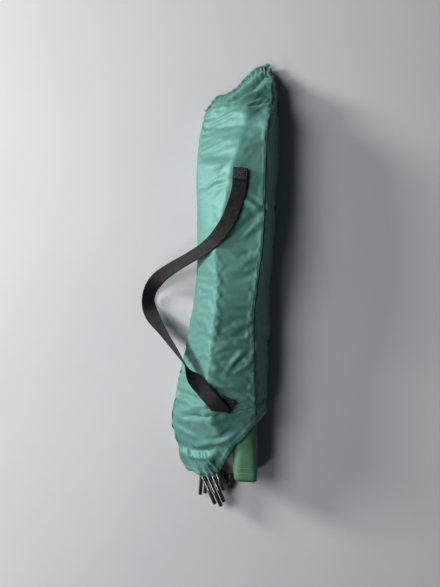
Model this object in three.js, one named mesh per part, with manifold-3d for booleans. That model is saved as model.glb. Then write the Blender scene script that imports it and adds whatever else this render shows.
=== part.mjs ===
// A packed ridge tent in its drawstring carry bag, lying on the ground with its poles sticking out.
// Millimetres, +Z up. +Y runs along the bag towards its closed end, +X towards the side seam, and
// z = 0 is the ground the bag lies on.
import * as THREE from 'three';
import { mergeVertices } from 'three/addons/utils/BufferGeometryUtils.js';
import Module from 'manifold-3d';

const wasm = await Module();
wasm.setup();

// ---------------------------------------------------------------- driving dimensions
const GAP = 0.35; // clearance between pieces that touch

const BAG_WALL = 1.6; // sleeve fabric, drawn thicker than cloth so that it is a solid
const BAG_SIDES = 40; // facets around the sleeve
const BAG_POWER = 2.5; // how square the sleeve's section is; 2 is an ellipse
const UNDERSIDE_SINK = 6; // how much of the round section is pressed flat by the ground

const ROLL_LEAN = 0.06; // the rolls lean to +X towards the mouth, in mm per mm
const FLY_ROLL = { x: 52.5, z: 47.6, rx: 26.4, rz: 38.8, y: [-321, 296] };
const INNER_ROLL = { x: -3.4, z: 69.2, rx: 26.4, rz: 34, y: [-206, 206] };
const SHEET = 3.2; // one layer of rolled cloth
const SHEET_AIR = 0.9; // air between two layers
const ROLL_TURNS = 3.25;

const POLE_RADIUS = 3.75;
const POLE_BORE = 2.6;
const POLE_PITCH = 8.1; // centre to centre in a row
const POLE_SIDES = 10;
const BEND = THREE.MathUtils.degToRad(28); // pre-bent end of a leg pole
const BEND_RADIUS = 26;

const WEBBING = { width: 25, thick: 1.8 };
const CORD_RADIUS = 1.25;
const HEM = { depth: 12, thick: 4.2 };

const COLOUR = {
  bag: 0x6fae9f,
  seam: 0x2c4a45,
  tent: 0x86b892,
  inner: 0xb9c2b4,
  black: 0x1d1d1f,
  webbing: 0x2b2b2c,
  steel: 0xb8bcc0,
  pouch: 0x33363a,
};

// ---------------------------------------------------------------- small tools
const v3 = (x, y, z) => new THREE.Vector3(x, y, z);
const mix = (a, b, t) => a + (b - a) * t;

function material(color, roughness = 0.7, metalness = 0) {
  return new THREE.MeshStandardMaterial({ color, roughness, metalness });
}

function part(name, geometry, color, roughness, metalness) {
  const mesh = new THREE.Mesh(geometry, material(color, roughness, metalness));
  mesh.name = name;
  return mesh;
}

// Skin over a list of rings with equal point counts. A wrapped loft joins its last ring to its first;
// any other loft closes both ends with strips across the ring, from point s to point sides - s.
function loft(rings, wrap = false) {
  const sides = rings[0].length;
  const positions = rings.flat().flatMap((p) => [p.x, p.y, p.z]);
  const index = [];
  const bands = wrap ? rings.length : rings.length - 1;
  for (let r = 0; r < bands; r += 1) {
    const a = r * sides;
    const b = ((r + 1) % rings.length) * sides;
    for (let s = 0; s < sides; s += 1) {
      const t = (s + 1) % sides;
      index.push(a + s, a + t, b + t, a + s, b + t, b + s);
    }
  }
  if (!wrap) {
    const cap = [];
    for (let s = 0; s + 1 <= sides - s - 1; s += 1) {
      const [near, far] = [sides - s - 1, (sides - s) % sides];
      if (s > 0) cap.push([s, s + 1, far]);
      if (s === 0 || s + 1 < near) cap.push(s === 0 ? [0, 1, near] : [s + 1, near, far]);
    }
    const last = (rings.length - 1) * sides;
    cap.forEach(([a, b, c]) => index.push(c, b, a, last + a, last + b, last + c));
  }
  const geometry = new THREE.BufferGeometry();
  geometry.setAttribute('position', new THREE.Float32BufferAttribute(positions, 3));
  geometry.setIndex(index);
  return facingOut(geometry);
}

function facingOut(geometry) {
  const p = geometry.attributes.position;
  const index = geometry.index.array;
  const [a, b, c] = [v3(0, 0, 0), v3(0, 0, 0), v3(0, 0, 0)];
  let volume = 0;
  for (let i = 0; i < index.length; i += 3) {
    a.fromBufferAttribute(p, index[i]);
    b.fromBufferAttribute(p, index[i + 1]);
    c.fromBufferAttribute(p, index[i + 2]);
    volume += a.dot(b.cross(c));
  }
  if (volume < 0) {
    for (let i = 0; i < index.length; i += 3) {
      [index[i + 1], index[i + 2]] = [index[i + 2], index[i + 1]];
    }
  }
  geometry.computeVertexNormals();
  return geometry;
}

// Rings of a 2-D section carried along frames of { at, side, up }.
function sweepRings(section, frames) {
  return frames.map(({ at, side, up }) =>
    section.map(([s, u]) => at.clone().addScaledVector(side, s).addScaledVector(up, u)));
}

function circle(radius, sides) {
  return Array.from({ length: sides }, (_, i) => {
    const angle = (i / sides) * 2 * Math.PI;
    return [radius * Math.cos(angle), radius * Math.sin(angle)];
  });
}

function manifold(geometry) {
  const bare = geometry.clone();
  bare.deleteAttribute('normal');
  if (bare.attributes.uv) bare.deleteAttribute('uv');
  const merged = mergeVertices(bare, 1e-4);
  return new wasm.Manifold(new wasm.Mesh({
    numProp: 3,
    vertProperties: Float32Array.from(merged.attributes.position.array),
    triVerts: Uint32Array.from(merged.index.array),
  }));
}

function fromManifold(solid) {
  const mesh = solid.getMesh();
  const geometry = new THREE.BufferGeometry();
  geometry.setAttribute('position', new THREE.Float32BufferAttribute(mesh.vertProperties, 3));
  geometry.setIndex(Array.from(mesh.triVerts));
  geometry.computeVertexNormals();
  return geometry;
}

// ---------------------------------------------------------------- the sleeve's surface
// Stations from the closed end to the mouth: where the section's left and right ends lie, and its
// lowest and highest points. A section below z = 0 is pressed flat there. The ends are half way up,
// or at the heights given: the empty cloth beyond the contents sags to the ground.
const STATIONS = [
  { left: [-58, 318], right: [47, 409], z: [8, 16] },
  { left: [-61, 307], right: [56, 385], z: [2, 38], ends: [18, 9] },
  { left: [-64.5, 288], right: [63, 358], z: [-1, 66], ends: [28, 10] },
  { left: [-67, 264], right: [67, 334], z: [-3, 98], ends: [44, 18] },
  { left: [-68, 236], right: [69, 300], z: [-4, 113], ends: [54, 40] },
  { left: [-66.5, 196], right: [70, 236], z: [-UNDERSIDE_SINK, 118] },
  { left: [-63, 150], right: [70, 160], z: [-UNDERSIDE_SINK, 119] },
  { left: [-60, 95], right: [71, 95], z: [-UNDERSIDE_SINK, 119] },
  { left: [-57, 40], right: [72.5, 40], z: [-UNDERSIDE_SINK, 119] },
  { left: [-58, -12], right: [74, -12], z: [-UNDERSIDE_SINK, 120] },
  { left: [-63, -60], right: [74.5, -60], z: [-UNDERSIDE_SINK, 120] },
  { left: [-69, -110], right: [74.5, -110], z: [-UNDERSIDE_SINK, 119] },
  { left: [-77, -158], right: [76, -150], z: [-UNDERSIDE_SINK, 117] },
  { left: [-82, -204], right: [78.5, -178], z: [-UNDERSIDE_SINK, 112] },
];

// The closed end's seam line in plan, as how far it stands beyond a straight slant at each x.
const END_BULGE = new THREE.SplineCurve([
  new THREE.Vector2(-58, 0),
  new THREE.Vector2(-44, 12),
  new THREE.Vector2(-24, 3),
  new THREE.Vector2(-10, -1),
  new THREE.Vector2(10, 5),
  new THREE.Vector2(28, 8),
  new THREE.Vector2(47, 0),
]);
const END_BULGE_FADES = 3; // stations over which the line becomes straight

// The free edge of the mouth: the angle around the sleeve and the point there. It hangs open around
// the flysheet roll on the right and is drawn tight around the poles on the left.
const RIM = [
  [0, 81.5, -204, 48], [25, 78.5, -206, 72], [48, 66, -214, 90], [68, 50, -231, 92.5],
  [84, 37, -249, 89], [98, 25.5, -266, 77], [112, 18, -284, 57], [126, 12.5, -303, 44],
  [142, 3, -318, 39], [154, -14, -322, 38], [166, -32, -322, 37], [176, -48, -320, 31],
  [186, -54.5, -319, 18], [202, -45, -319, 7.5], [224, -20, -320, 5.2], [250, 6, -314, 4.9],
  [276, 24, -285, 4.5], [300, 44, -252, 4.2], [326, 66, -222, 8], [344, 78.5, -208, 24],
];

function superellipse(angle) {
  const c = Math.cos(angle);
  const s = Math.sin(angle);
  return [
    Math.sign(c) * Math.abs(c) ** (2 / BAG_POWER),
    Math.sign(s) * Math.abs(s) ** (2 / BAG_POWER),
  ];
}

function stationPoint(number, angle) {
  const { left, right, z } = STATIONS[number];
  const [c, s] = superellipse(angle);
  const x = mix(left[0], right[0], (c + 1) / 2);
  const fade = Math.max(0, 1 - number / END_BULGE_FADES);
  const across = (c + 1) / 2;
  const bulge = END_BULGE.getPoint(across).y * fade;
  const half = mix(z[0], z[1], 0.5);
  const [endLeft, endRight] = STATIONS[number].ends ?? [half, half];
  const end = mix(endLeft, endRight, across);
  const height = s > 0 ? mix(end, z[1], s) : mix(end, z[0], -s);
  return v3(x, mix(left[1], right[1], across) + bulge, Math.max(0, height));
}

const RIM_CURVE = new THREE.CatmullRomCurve3(RIM.map(([, x, y, z]) => v3(x, y, z)), true);

function rimPoint(angle) {
  const degrees = THREE.MathUtils.euclideanModulo(THREE.MathUtils.radToDeg(angle), 360);
  let i = RIM.length - 1;
  while (RIM[i][0] > degrees) i -= 1;
  const next = i + 1 < RIM.length ? RIM[i + 1][0] : 360;
  return RIM_CURVE.getPoint((i + (degrees - RIM[i][0]) / (next - RIM[i][0])) / RIM.length);
}

const LAST = STATIONS.length - 1;
const MOUTH_STEPS = 6; // rings from the last station to the rim

// Direction in which the cloth runs out to the rim.
function rimHeading(angle) {
  return rimPoint(angle).sub(stationPoint(LAST, angle)).normalize();
}

// Frames along the free edge: side points out along the cloth, up points away from the opening, and
// at is a given depth out from where the hem starts.
function hemFrame(angle, depth = 0) {
  const heading = rimHeading(angle);
  const around = rimPoint(angle + 0.03).sub(rimPoint(angle - 0.03)).normalize();
  const up = heading.clone().cross(around).normalize();
  const side = around.clone().cross(up).normalize();
  const out = up.z * Math.sin(angle) + up.x * Math.cos(angle) >= 0 ? up : up.negate();
  return { at: rimPoint(angle).addScaledVector(side, depth - HEM.depth), side, up: out };
}

// A point of the tapering mouth: t = 0 at the last station, 1 at the rim less the hem's depth.
function mouthPoint(angle, t) {
  const start = stationPoint(LAST, angle);
  const heading = start.clone().sub(stationPoint(LAST - 1, angle)).normalize();
  const end = hemFrame(angle, -2 * GAP).at;
  const reach = start.distanceTo(end);
  const curve = new THREE.CubicBezierCurve3(
    start,
    start.clone().addScaledVector(heading, reach * 0.45),
    end.clone().addScaledVector(rimHeading(angle), -reach * 0.3),
    end,
  );
  const p = curve.getPoint(t);
  p.z = Math.max(0, p.z);
  return p;
}

const ANGLES = Array.from({ length: BAG_SIDES }, (_, i) => (i / BAG_SIDES) * 2 * Math.PI);

// Catmull-Rom refinement between stations, so that the sleeve is smooth along its length.
function sleevePoint(position, angle) {
  if (position >= LAST) return mouthPoint(angle, (position - LAST) / MOUTH_STEPS);
  const whole = Math.floor(position);
  const near = [-1, 0, 1, 2].map((k) => {
    const n = THREE.MathUtils.clamp(whole + k, 0, LAST);
    return stationPoint(n, angle);
  });
  const t = position - whole;
  const p = v3(0, 0, 0);
  ['x', 'y', 'z'].forEach((axis) => {
    const [a, b, c, d] = near.map((q) => q[axis]);
    p[axis] = 0.5 * (2 * b + (c - a) * t + (2 * a - 5 * b + 4 * c - d) * t * t
      + (3 * b - a - 3 * c + d) * t * t * t);
  });
  p.z = Math.max(0, p.z);
  return p;
}

function sleeveNormal(position, angle) {
  const along = sleevePoint(Math.min(position + 0.02, LAST + MOUTH_STEPS), angle)
    .sub(sleevePoint(Math.max(position - 0.02, 0), angle));
  const around = sleevePoint(position, angle + 0.02).sub(sleevePoint(position, angle - 0.02));
  return around.cross(along).normalize();
}

function sleeveRing(position, inset = 0) {
  return ANGLES.map((angle) => {
    const p = sleevePoint(position, angle);
    return inset ? p.addScaledVector(sleeveNormal(position, angle), -inset) : p;
  });
}

// ---------------------------------------------------------------- the carry bag
function bagShell() {
  const positions = Array.from({ length: LAST + MOUTH_STEPS + 1 }, (_, i) => i);
  const outer = positions.map((position) => sleeveRing(position));
  const inner = positions.slice(2).reverse().map((position) => sleeveRing(position, BAG_WALL));
  return loft([...outer, ...inner]);
}

// A closed strip that lies on the sleeve: half its width to either side of a line of
// [position, angle] points, standing off the cloth far enough to clear its facets.
const STRIP_LIFT = 0.6;
function stripOnSleeve(line, width, thick) {
  const points = line.map(([position, angle]) => {
    const up = sleeveNormal(position, angle);
    return { at: sleevePoint(position, angle).addScaledVector(up, STRIP_LIFT), up };
  });
  const frames = points.map(({ at, up }, i) => {
    const before = points[Math.max(0, i - 1)].at;
    const after = points[Math.min(points.length - 1, i + 1)].at;
    const side = after.clone().sub(before).cross(up).normalize();
    return { at, side, up };
  });
  const half = width / 2;
  return loft(sweepRings([[-half, 0], [half, 0], [half * 0.7, thick], [-half * 0.7, thick]], frames));
}

// The side seam runs from the closed end's point to the mouth, where the section's x reaches this.
const SEAM_LINE = [
  [0.9, 43], [1.5, 45], [2, 47], [3, 48.5], [4, 46.5], [5, 46], [6, 48], [7, 49.5], [8, 46.5],
  [9, 44], [10, 44.5], [11, 49.5], [12, 54], [13, 57.5],
];

function seamAngle(position, x) {
  const at = Math.floor(position);
  const next = Math.min(at + 1, LAST);
  const left = mix(STATIONS[at].left[0], STATIONS[next].left[0], position - at);
  const right = mix(STATIONS[at].right[0], STATIONS[next].right[0], position - at);
  const c = (2 * (x - left)) / (right - left) - 1;
  return Math.acos(c ** (BAG_POWER / 2));
}

function sideSeam() {
  const line = SEAM_LINE.map(([position, x]) => [position, seamAngle(position, x)]);
  const mouthAngle = line[line.length - 1][1];
  [2, 4, 5.6].forEach((step) => line.push([LAST + step, mouthAngle]));
  return stripOnSleeve(line, 5, 1.5);
}

// The closed end is turned in and sewn flat: a narrow lip along the first station.
function endSeam() {
  const lip = 5;
  const thick = 3.6;
  const height = mix(STATIONS[0].z[0], STATIONS[0].z[1], 0.5);
  const line = ANGLES.slice(1, BAG_SIDES / 2).map((angle) => {
    const top = stationPoint(0, angle);
    return v3(top.x, top.y, height);
  });
  const up = v3(0, 0, 1);
  const frames = line.map((p, i) => {
    const before = line[Math.max(0, i - 1)];
    const after = line[Math.min(line.length - 1, i + 1)];
    const side = after.clone().sub(before).cross(up).normalize();
    if (side.y < 0) side.negate();
    return { at: p.clone().addScaledVector(side, 2 * GAP), side, up };
  });
  return loft(sweepRings([[0, -thick / 2], [lip, -thick / 4], [lip, thick / 4], [0, thick / 2]], frames));
}

const HEM_STEPS = 52;
function hemRings(section) {
  const frames = Array.from({ length: HEM_STEPS }, (_, i) => hemFrame((i / HEM_STEPS) * 2 * Math.PI));
  return sweepRings(section, frames);
}

// The hem is a folded channel, open on its inner side, that the drawcord runs in.
const CHANNEL = { from: 4, to: 8, floor: 1 };
function mouthHem() {
  const half = HEM.thick / 2;
  return loft(hemRings([
    [0, -half], [0, half], [HEM.depth, half], [HEM.depth, -half],
    [CHANNEL.to, -half], [CHANNEL.to, CHANNEL.floor], [CHANNEL.from, CHANNEL.floor], [CHANNEL.from, -half],
  ]), true);
}

const CORD_EXIT_ANGLE = THREE.MathUtils.degToRad(252); // where both tails leave the hem
const CORD_EXIT_SPREAD = THREE.MathUtils.degToRad(7);

function drawcordInHem() {
  const steps = 48;
  const start = CORD_EXIT_ANGLE + CORD_EXIT_SPREAD;
  const turn = 2 * Math.PI - 2 * CORD_EXIT_SPREAD;
  const frames = Array.from({ length: steps + 1 }, (_, i) => {
    const frame = hemFrame(start + (turn * i) / steps, (CHANNEL.from + CHANNEL.to) / 2);
    frame.at.addScaledVector(frame.up, CHANNEL.floor - CORD_RADIUS - GAP);
    return frame;
  });
  return loft(sweepRings(circle(CORD_RADIUS, 8), frames));
}

function carryBag() {
  return [
    part('bag_shell', bagShell(), COLOUR.bag, 0.55),
    part('side_seam_binding', sideSeam(), COLOUR.seam, 0.7),
    part('end_seam_lip', endSeam(), COLOUR.bag, 0.6),
    part('mouth_hem', mouthHem(), COLOUR.bag, 0.6),
    part('drawcord_in_hem', drawcordInHem(), COLOUR.black, 0.8),
  ];
}

// ---------------------------------------------------------------- strap and its sewn ends
// Height of the sleeve's upper side above a point in plan, from a fine sample of the sleeve.
const TOP_SAMPLES = [];
for (let position = 3; position <= LAST + MOUTH_STEPS; position += 0.04) {
  for (let degrees = 14; degrees <= 168; degrees += 2) {
    TOP_SAMPLES.push(sleevePoint(position, THREE.MathUtils.degToRad(degrees)));
  }
}
function topOf(x, y) {
  const near = TOP_SAMPLES.filter((p) => Math.abs(p.x - x) < 4 && Math.abs(p.y - y) < 4);
  return near.reduce((best, p) => Math.max(best, p.z), 0);
}

// The strap's centre line and the way its outer face looks. A z of null lies on the sleeve.
const STRAP_LIFT = 1.6;
const STRAP_ROUTE = [
  { at: [6, 176, null], face: [0, 0, 1] },
  { at: [2, 154, null], face: [0, 0, 1] },
  { at: [-8, 122, null], face: [-0.15, 0, 1] },
  { at: [-24, 94, null], face: [-0.35, 0.1, 0.93] },
  { at: [-44, 74, 108.5], face: [-0.5, 0.2, 0.84] },
  { at: [-72, 55, 87], face: [-0.5, 0.4, 0.76] },
  { at: [-103, 38, 59], face: [-0.6, 0.5, 0.62] },
  { at: [-128, 20, 35], face: [-0.8, 0.5, 0.35] },
  { at: [-143, -2, 19], face: [-0.96, 0.25, 0.1] },
  { at: [-147, -26, 14.5], face: [-1, -0.05, 0.02] },
  { at: [-138, -47, 17.5], face: [-0.8, -0.55, 0.2] },
  { at: [-117, -69, 30], face: [-0.6, -0.55, 0.55] },
  { at: [-96, -89, 52], face: [-0.5, -0.5, 0.7] },
  { at: [-77, -108, 80], face: [-0.6, -0.6, 0.5] },
  { at: [-61, -126, 103], face: [-0.78, -0.62, 0] },
  { at: [-47, -144, 112.5], face: [-0.3, -0.3, -0.9] },
  { at: [-32, -160, null], face: [0.12, 0, -1] },
  { at: [-15, -177, null], face: [0.05, 0, -1] },
  { at: [-1, -191, null], face: [0, 0, -1] },
];
const STRAP_STEPS = 54;
const PATCH_THICK = 2;

function strapFrames() {
  const places = STRAP_ROUTE.map(({ at: [x, y, z] }, i) => {
    const onPatch = i >= STRAP_ROUTE.length - 2 ? PATCH_THICK + 2 * GAP : 0;
    return v3(x, y, z ?? topOf(x, y) + STRAP_LIFT + onPatch);
  });
  const route = new THREE.CatmullRomCurve3(places);
  const faces = new THREE.CatmullRomCurve3(STRAP_ROUTE.map(({ face }) => v3(...face).normalize()));
  const frames = Array.from({ length: STRAP_STEPS + 1 }, (_, i) => {
    const t = i / STRAP_STEPS;
    const tangent = route.getTangent(t);
    const face = faces.getPoint(t);
    const side = tangent.clone().cross(face).normalize();
    return { at: route.getPoint(t), side, up: side.clone().cross(tangent).normalize() };
  });
  return liftedClear(frames);
}

// Raises the frames whose webbing would cut into the sleeve, smoothly along the strap.
function liftedClear(frames) {
  const across = [-1, -0.5, 0, 0.5, 1].map((k) => (k * WEBBING.width) / 2);
  const short = frames.map(({ at, side }) => Math.max(0, ...across.map((reach) => {
    const p = at.clone().addScaledVector(side, reach);
    const onBag = p.x > -62;
    return onBag ? topOf(p.x, p.y) + WEBBING.thick / 2 + GAP - p.z : 0;
  })));
  const around = (list, i) => list.slice(Math.max(0, i - 2), i + 3);
  const widest = short.map((_, i) => Math.max(...around(short, i)));
  const smooth = widest.map((_, i) => {
    const near = around(widest, i);
    return near.reduce((sum, value) => sum + value, 0) / near.length;
  });
  frames.forEach((frame, i) => {
    frame.at.z += smooth[i];
  });
  return frames;
}

function carryStrap() {
  const [w, h] = [WEBBING.width / 2, WEBBING.thick / 2];
  return loft(sweepRings([[-w, -h], [w, -h], [w, h], [-w, h]], strapFrames()));
}

// A sewn end of the webbing, lying on the sleeve.
function sewnEnd(x, [low, high], width) {
  const lines = [-0.5, -0.25, 0, 0.25, 0.5].map((k) => k * width);
  const rows = [0, 0.25, 0.5, 0.75, 1].map((t) => mix(low, high, t));
  const base = rows.map((y) => lines.map((dx) => v3(x + dx, y, topOf(x + dx, y) + GAP)));
  const rings = base.map((row) => [
    ...row,
    ...row.slice().reverse().map((p) => p.clone().add(v3(0, 0, PATCH_THICK))),
  ]);
  return loft(rings);
}

function strapParts() {
  return [
    part('carry_strap', carryStrap(), COLOUR.webbing, 0.75),
    part('strap_end_upper', sewnEnd(6, [178.5, 208], WEBBING.width), COLOUR.webbing, 0.8),
    part('strap_end_lower', sewnEnd(8, [-197, -168], WEBBING.width), COLOUR.webbing, 0.8),
  ];
}

// ---------------------------------------------------------------- rolled cloth
// A sheet rolled up: its spiral outline is stretched to the roll's oval and pulled along the length.
function rolledSheet({ rx, rz, y: [low, high] }) {
  const pointsPerTurn = 20;
  const count = Math.round(ROLL_TURNS * pointsPerTurn);
  const shrink = (SHEET + SHEET_AIR) / pointsPerTurn;
  const spiral = (offset) => Array.from({ length: count + 1 }, (_, i) => {
    const angle = -Math.PI / 2 - (i / pointsPerTurn) * 2 * Math.PI;
    const inset = Math.max(0, i * shrink) + offset;
    return new THREE.Vector2((rx - inset) * Math.cos(angle), (rz - inset) * Math.sin(angle));
  });
  const shape = new THREE.Shape([...spiral(0), ...spiral(SHEET).reverse()]);
  const geometry = new THREE.ExtrudeGeometry(shape, { depth: high - low, bevelEnabled: false });
  geometry.rotateX(Math.PI / 2); // the length runs along -Y, the outline's y along +Z
  geometry.translate(0, high, 0);
  return geometry;
}

// Shears a piece that was built straight along Y so that it leans like the rolls.
function lean(geometry, { x, z }, y0 = FLY_ROLL.y[0]) {
  const shear = new THREE.Matrix4().makeShear(0, 0, -ROLL_LEAN, 0, 0, 0);
  geometry.translate(0, -y0, 0);
  geometry.applyMatrix4(shear);
  geometry.translate(x, y0, z);
  return geometry;
}

function ovalBand({ rx, rz }, y, width, thick) {
  const sides = 28;
  const ring = (grow, at) => circle(1, sides).map(([c, s]) =>
    v3((rx + grow) * c, at, (rz + grow) * s));
  return loft([
    ring(GAP, y), ring(GAP + thick, y), ring(GAP + thick, y + width), ring(GAP, y + width),
  ], true);
}

const TIE = { width: 20, thick: 0.8 };

function rollTie(name, roll, y) {
  return part(name, lean(ovalBand(roll, y, TIE.width, TIE.thick), roll), COLOUR.black, 0.8);
}

function tentRolls() {
  return [
    part('flysheet_roll', lean(rolledSheet(FLY_ROLL), FLY_ROLL), COLOUR.tent, 0.6),
    rollTie('flysheet_tie_upper', FLY_ROLL, 150),
    rollTie('flysheet_tie_lower', FLY_ROLL, -140),
    part('inner_tent_roll', lean(rolledSheet(INNER_ROLL), INNER_ROLL), COLOUR.inner, 0.8),
    rollTie('inner_tent_tie_upper', INNER_ROLL, 120),
    rollTie('inner_tent_tie_lower', INNER_ROLL, -120),
  ];
}

// ---------------------------------------------------------------- pegs, inside the inner tent roll
const PEG = { radius: 2, length: 170, count: 6, hook: 2.2, point: 8 };
const PEG_ROWS = { column: 3.3, apart: 5.75 }; // two columns of pegs, and the rows' spacing
const POUCH = { rx: 8.6, rz: 14, wall: 1, y: [-100, 84] };

function pegPouch() {
  const sides = 20;
  const ring = (inset, y) => circle(1, sides).map(([c, s]) =>
    v3((POUCH.rx - inset) * c, y, (POUCH.rz - inset) * s));
  const [low, high] = POUCH.y;
  return loft([
    ring(0, low), ring(0, high), ring(POUCH.wall, high), ring(POUCH.wall, low + POUCH.wall * 2),
  ]);
}

// A round wire peg with its top turned over into a hook, along Y, with a point at its low end.
function tentPeg(x, z, turn) {
  const low = POUCH.y[0] + 2 * PEG.radius;
  const straightEnd = low + PEG.length - 6;
  const path = [v3(0, low + PEG.point, 0), v3(0, straightEnd, 0)];
  const hookSteps = 4;
  for (let i = 1; i <= hookSteps; i += 1) {
    const angle = (i / hookSteps) * Math.PI * 0.5;
    path.push(v3(PEG.hook * (1 - Math.cos(angle)), straightEnd + PEG.hook * Math.sin(angle), 0));
  }
  const frames = path.map((at, i) => {
    const before = path[Math.max(0, i - 1)];
    const after = path[Math.min(path.length - 1, i + 1)];
    const tangent = after.clone().sub(before).normalize();
    const up = v3(0, 0, 1);
    return { at, side: tangent.clone().cross(up).normalize(), up };
  });
  const tip = { ...frames[0], at: v3(0, low, 0) };
  const [point, shaft] = [circle(PEG.radius * 0.2, 8), circle(PEG.radius, 8)];
  const geometry = loft([...sweepRings(point, [tip]), ...sweepRings(shaft, frames)]);
  geometry.rotateY(turn);
  geometry.translate(x, 0, z);
  return geometry;
}

function pegParts() {
  const parts = [part('peg_pouch', lean(pegPouch(), INNER_ROLL), COLOUR.pouch, 0.8)];
  for (let i = 0; i < PEG.count; i += 1) {
    const column = i % 2 ? PEG_ROWS.column : -PEG_ROWS.column;
    const row = (Math.floor(i / 2) - 1) * PEG_ROWS.apart;
    const geometry = tentPeg(column, row, column > 0 ? Math.PI : 0);
    parts.push(part(`tent_peg_${i + 1}`, lean(geometry, INNER_ROLL), COLOUR.steel, 0.35, 1));
  }
  return parts;
}

// ---------------------------------------------------------------- poles
const LEG_ROW_Z = 27; // the legs lie in one row, above the ridge sections
const RIDGE_ROW_Z = 18.4;
const FIRST_LEG_X = -41;
const LEG_HIDDEN_END = 244;
const RIDGE_HIDDEN_END = 250;
// Straight run's x, and the tip's distance past the bend, for each pre-bent leg.
const LEGS = [90, 96, 89, 68].map((tip, i) => ({ x: FIRST_LEG_X + i * POLE_PITCH, tip }));
const LEG_BEND_Y = -289; // the corner of the first leg's bend
const RIDGES = [{ x: -25.5, end: -356 }, { x: -17, end: -353 }, { x: -8.5, end: -331 }];

function hollowTube(path, sides = POLE_SIDES, outer = POLE_RADIUS, bore = POLE_BORE) {
  const up = v3(0, 0, 1);
  const frames = path.map((at, i) => {
    const before = path[Math.max(0, i - 1)];
    const after = path[Math.min(path.length - 1, i + 1)];
    return { at, side: after.clone().sub(before).cross(up).normalize(), up };
  });
  const outside = sweepRings(circle(outer, sides), frames);
  const inside = sweepRings(circle(bore, sides), frames).reverse();
  return loft([...outside, ...inside], true);
}

// Path of a leg: down the bag, round the bend, and out at the bend angle.
function legPath({ x, tip }, number) {
  const cornerY = LEG_BEND_Y + number * POLE_PITCH * Math.tan(BEND / 2);
  const setback = BEND_RADIUS * Math.tan(BEND / 2);
  const path = [v3(x, LEG_HIDDEN_END, LEG_ROW_Z)];
  const steps = 5;
  for (let i = 0; i <= steps; i += 1) {
    const angle = (BEND * i) / steps;
    path.push(v3(
      x + BEND_RADIUS * (1 - Math.cos(angle)),
      cornerY + setback - BEND_RADIUS * Math.sin(angle),
      LEG_ROW_Z,
    ));
  }
  path.push(v3(x + tip * Math.sin(BEND), cornerY - tip * Math.cos(BEND), LEG_ROW_Z));
  return path;
}

// A rubber foot plugged into the end of a leg: a stem in the bore and a head as wide as the pole.
function legFoot({ x }) {
  const stem = POLE_BORE - GAP;
  const [reach, head] = [14, 4.5];
  const profile = [
    [0, -reach], [stem, -reach], [stem, GAP], [POLE_RADIUS, GAP],
    [POLE_RADIUS, head - 1.2], [POLE_RADIUS - 1.2, head], [0, head],
  ].map(([radius, height]) => new THREE.Vector2(radius, height));
  const lathe = new THREE.LatheGeometry(profile, 10);
  lathe.deleteAttribute('normal');
  lathe.deleteAttribute('uv');
  const geometry = mergeVertices(lathe);
  geometry.translate(x, LEG_HIDDEN_END, LEG_ROW_Z);
  return facingOut(geometry);
}

// A plug inside the hidden end of a ridge section, which the next section slides onto.
function ridgeSpigot({ x }) {
  const [radius, inside, outside] = [POLE_BORE - GAP * 0.5, 18, 16];
  const geometry = new THREE.CylinderGeometry(radius, radius, inside + outside, 10);
  geometry.translate(x, RIDGE_HIDDEN_END + (outside - inside) / 2, RIDGE_ROW_Z);
  return geometry;
}

// An elastic tie around both rows of poles.
function poleTie(y) {
  const [width, thick] = [16, 1.2];
  const corner = POLE_RADIUS + GAP;
  const outline = (grow) => {
    const low = { left: RIDGES[0].x, right: RIDGES[2].x, z: RIDGE_ROW_Z };
    const high = { left: LEGS[0].x, right: LEGS[3].x, z: LEG_ROW_Z };
    const radius = corner + grow;
    const arc = (x, z, from, to) => Array.from({ length: 5 }, (_, i) => {
      const angle = mix(from, to, i / 4);
      return [x + radius * Math.cos(angle), z + radius * Math.sin(angle)];
    });
    const rise = high.z - low.z;
    const rightward = Math.atan2(low.right - high.right, rise); // square to the tie's right run
    const leftward = 1.5 * Math.PI - Math.atan2(rise, low.left - high.left);
    return [
      ...arc(low.left, low.z, leftward, 1.5 * Math.PI),
      ...arc(low.right, low.z, -0.5 * Math.PI, rightward),
      ...arc(high.right, high.z, rightward, 0.5 * Math.PI),
      ...arc(high.left, high.z, 0.5 * Math.PI, leftward),
    ];
  };
  const ring = (grow, at) => outline(grow).map(([x, z]) => v3(x, at, z));
  return loft([ring(0, y), ring(thick, y), ring(thick, y + width), ring(0, y + width)], true);
}

function poleParts() {
  const parts = [];
  LEGS.forEach((leg, i) => {
    parts.push(part(`leg_pole_${i + 1}`, hollowTube(legPath(leg, i)), COLOUR.black, 0.25, 0.6));
  });
  RIDGES.forEach(({ x, end }, i) => {
    const path = [v3(x, RIDGE_HIDDEN_END, RIDGE_ROW_Z), v3(x, end, RIDGE_ROW_Z)];
    parts.push(part(`ridge_pole_${i + 1}`, hollowTube(path), COLOUR.black, 0.25, 0.6));
  });
  LEGS.forEach((leg, i) => parts.push(part(`leg_foot_${i + 1}`, legFoot(leg), COLOUR.pouch, 0.7)));
  RIDGES.slice(0, 2).forEach((ridge, i) => {
    parts.push(part(`ridge_spigot_${i + 1}`, ridgeSpigot(ridge), COLOUR.steel, 0.3, 1));
  });
  parts.push(part('pole_tie_upper', poleTie(120), COLOUR.webbing, 0.9));
  parts.push(part('pole_tie_lower', poleTie(-190), COLOUR.webbing, 0.9));
  return parts;
}

// ---------------------------------------------------------------- cord lock and drawcord tails
const LOCK = {
  x: 27.5, y: -329, z: 6.1, // middle of the cord hole
  width: 12, height: 10.6, back: 10, front: 9.2, // barrel, from the cord hole's middle
  bore: 3.9, plunger: 3.6, floor: 8.6, // plunger bore and how deep it goes behind the hole
};
const CORD_APART = 1.45; // each tail's distance from the middle of the hole
const PLUNGER_TRAVEL = 2.2;

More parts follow.
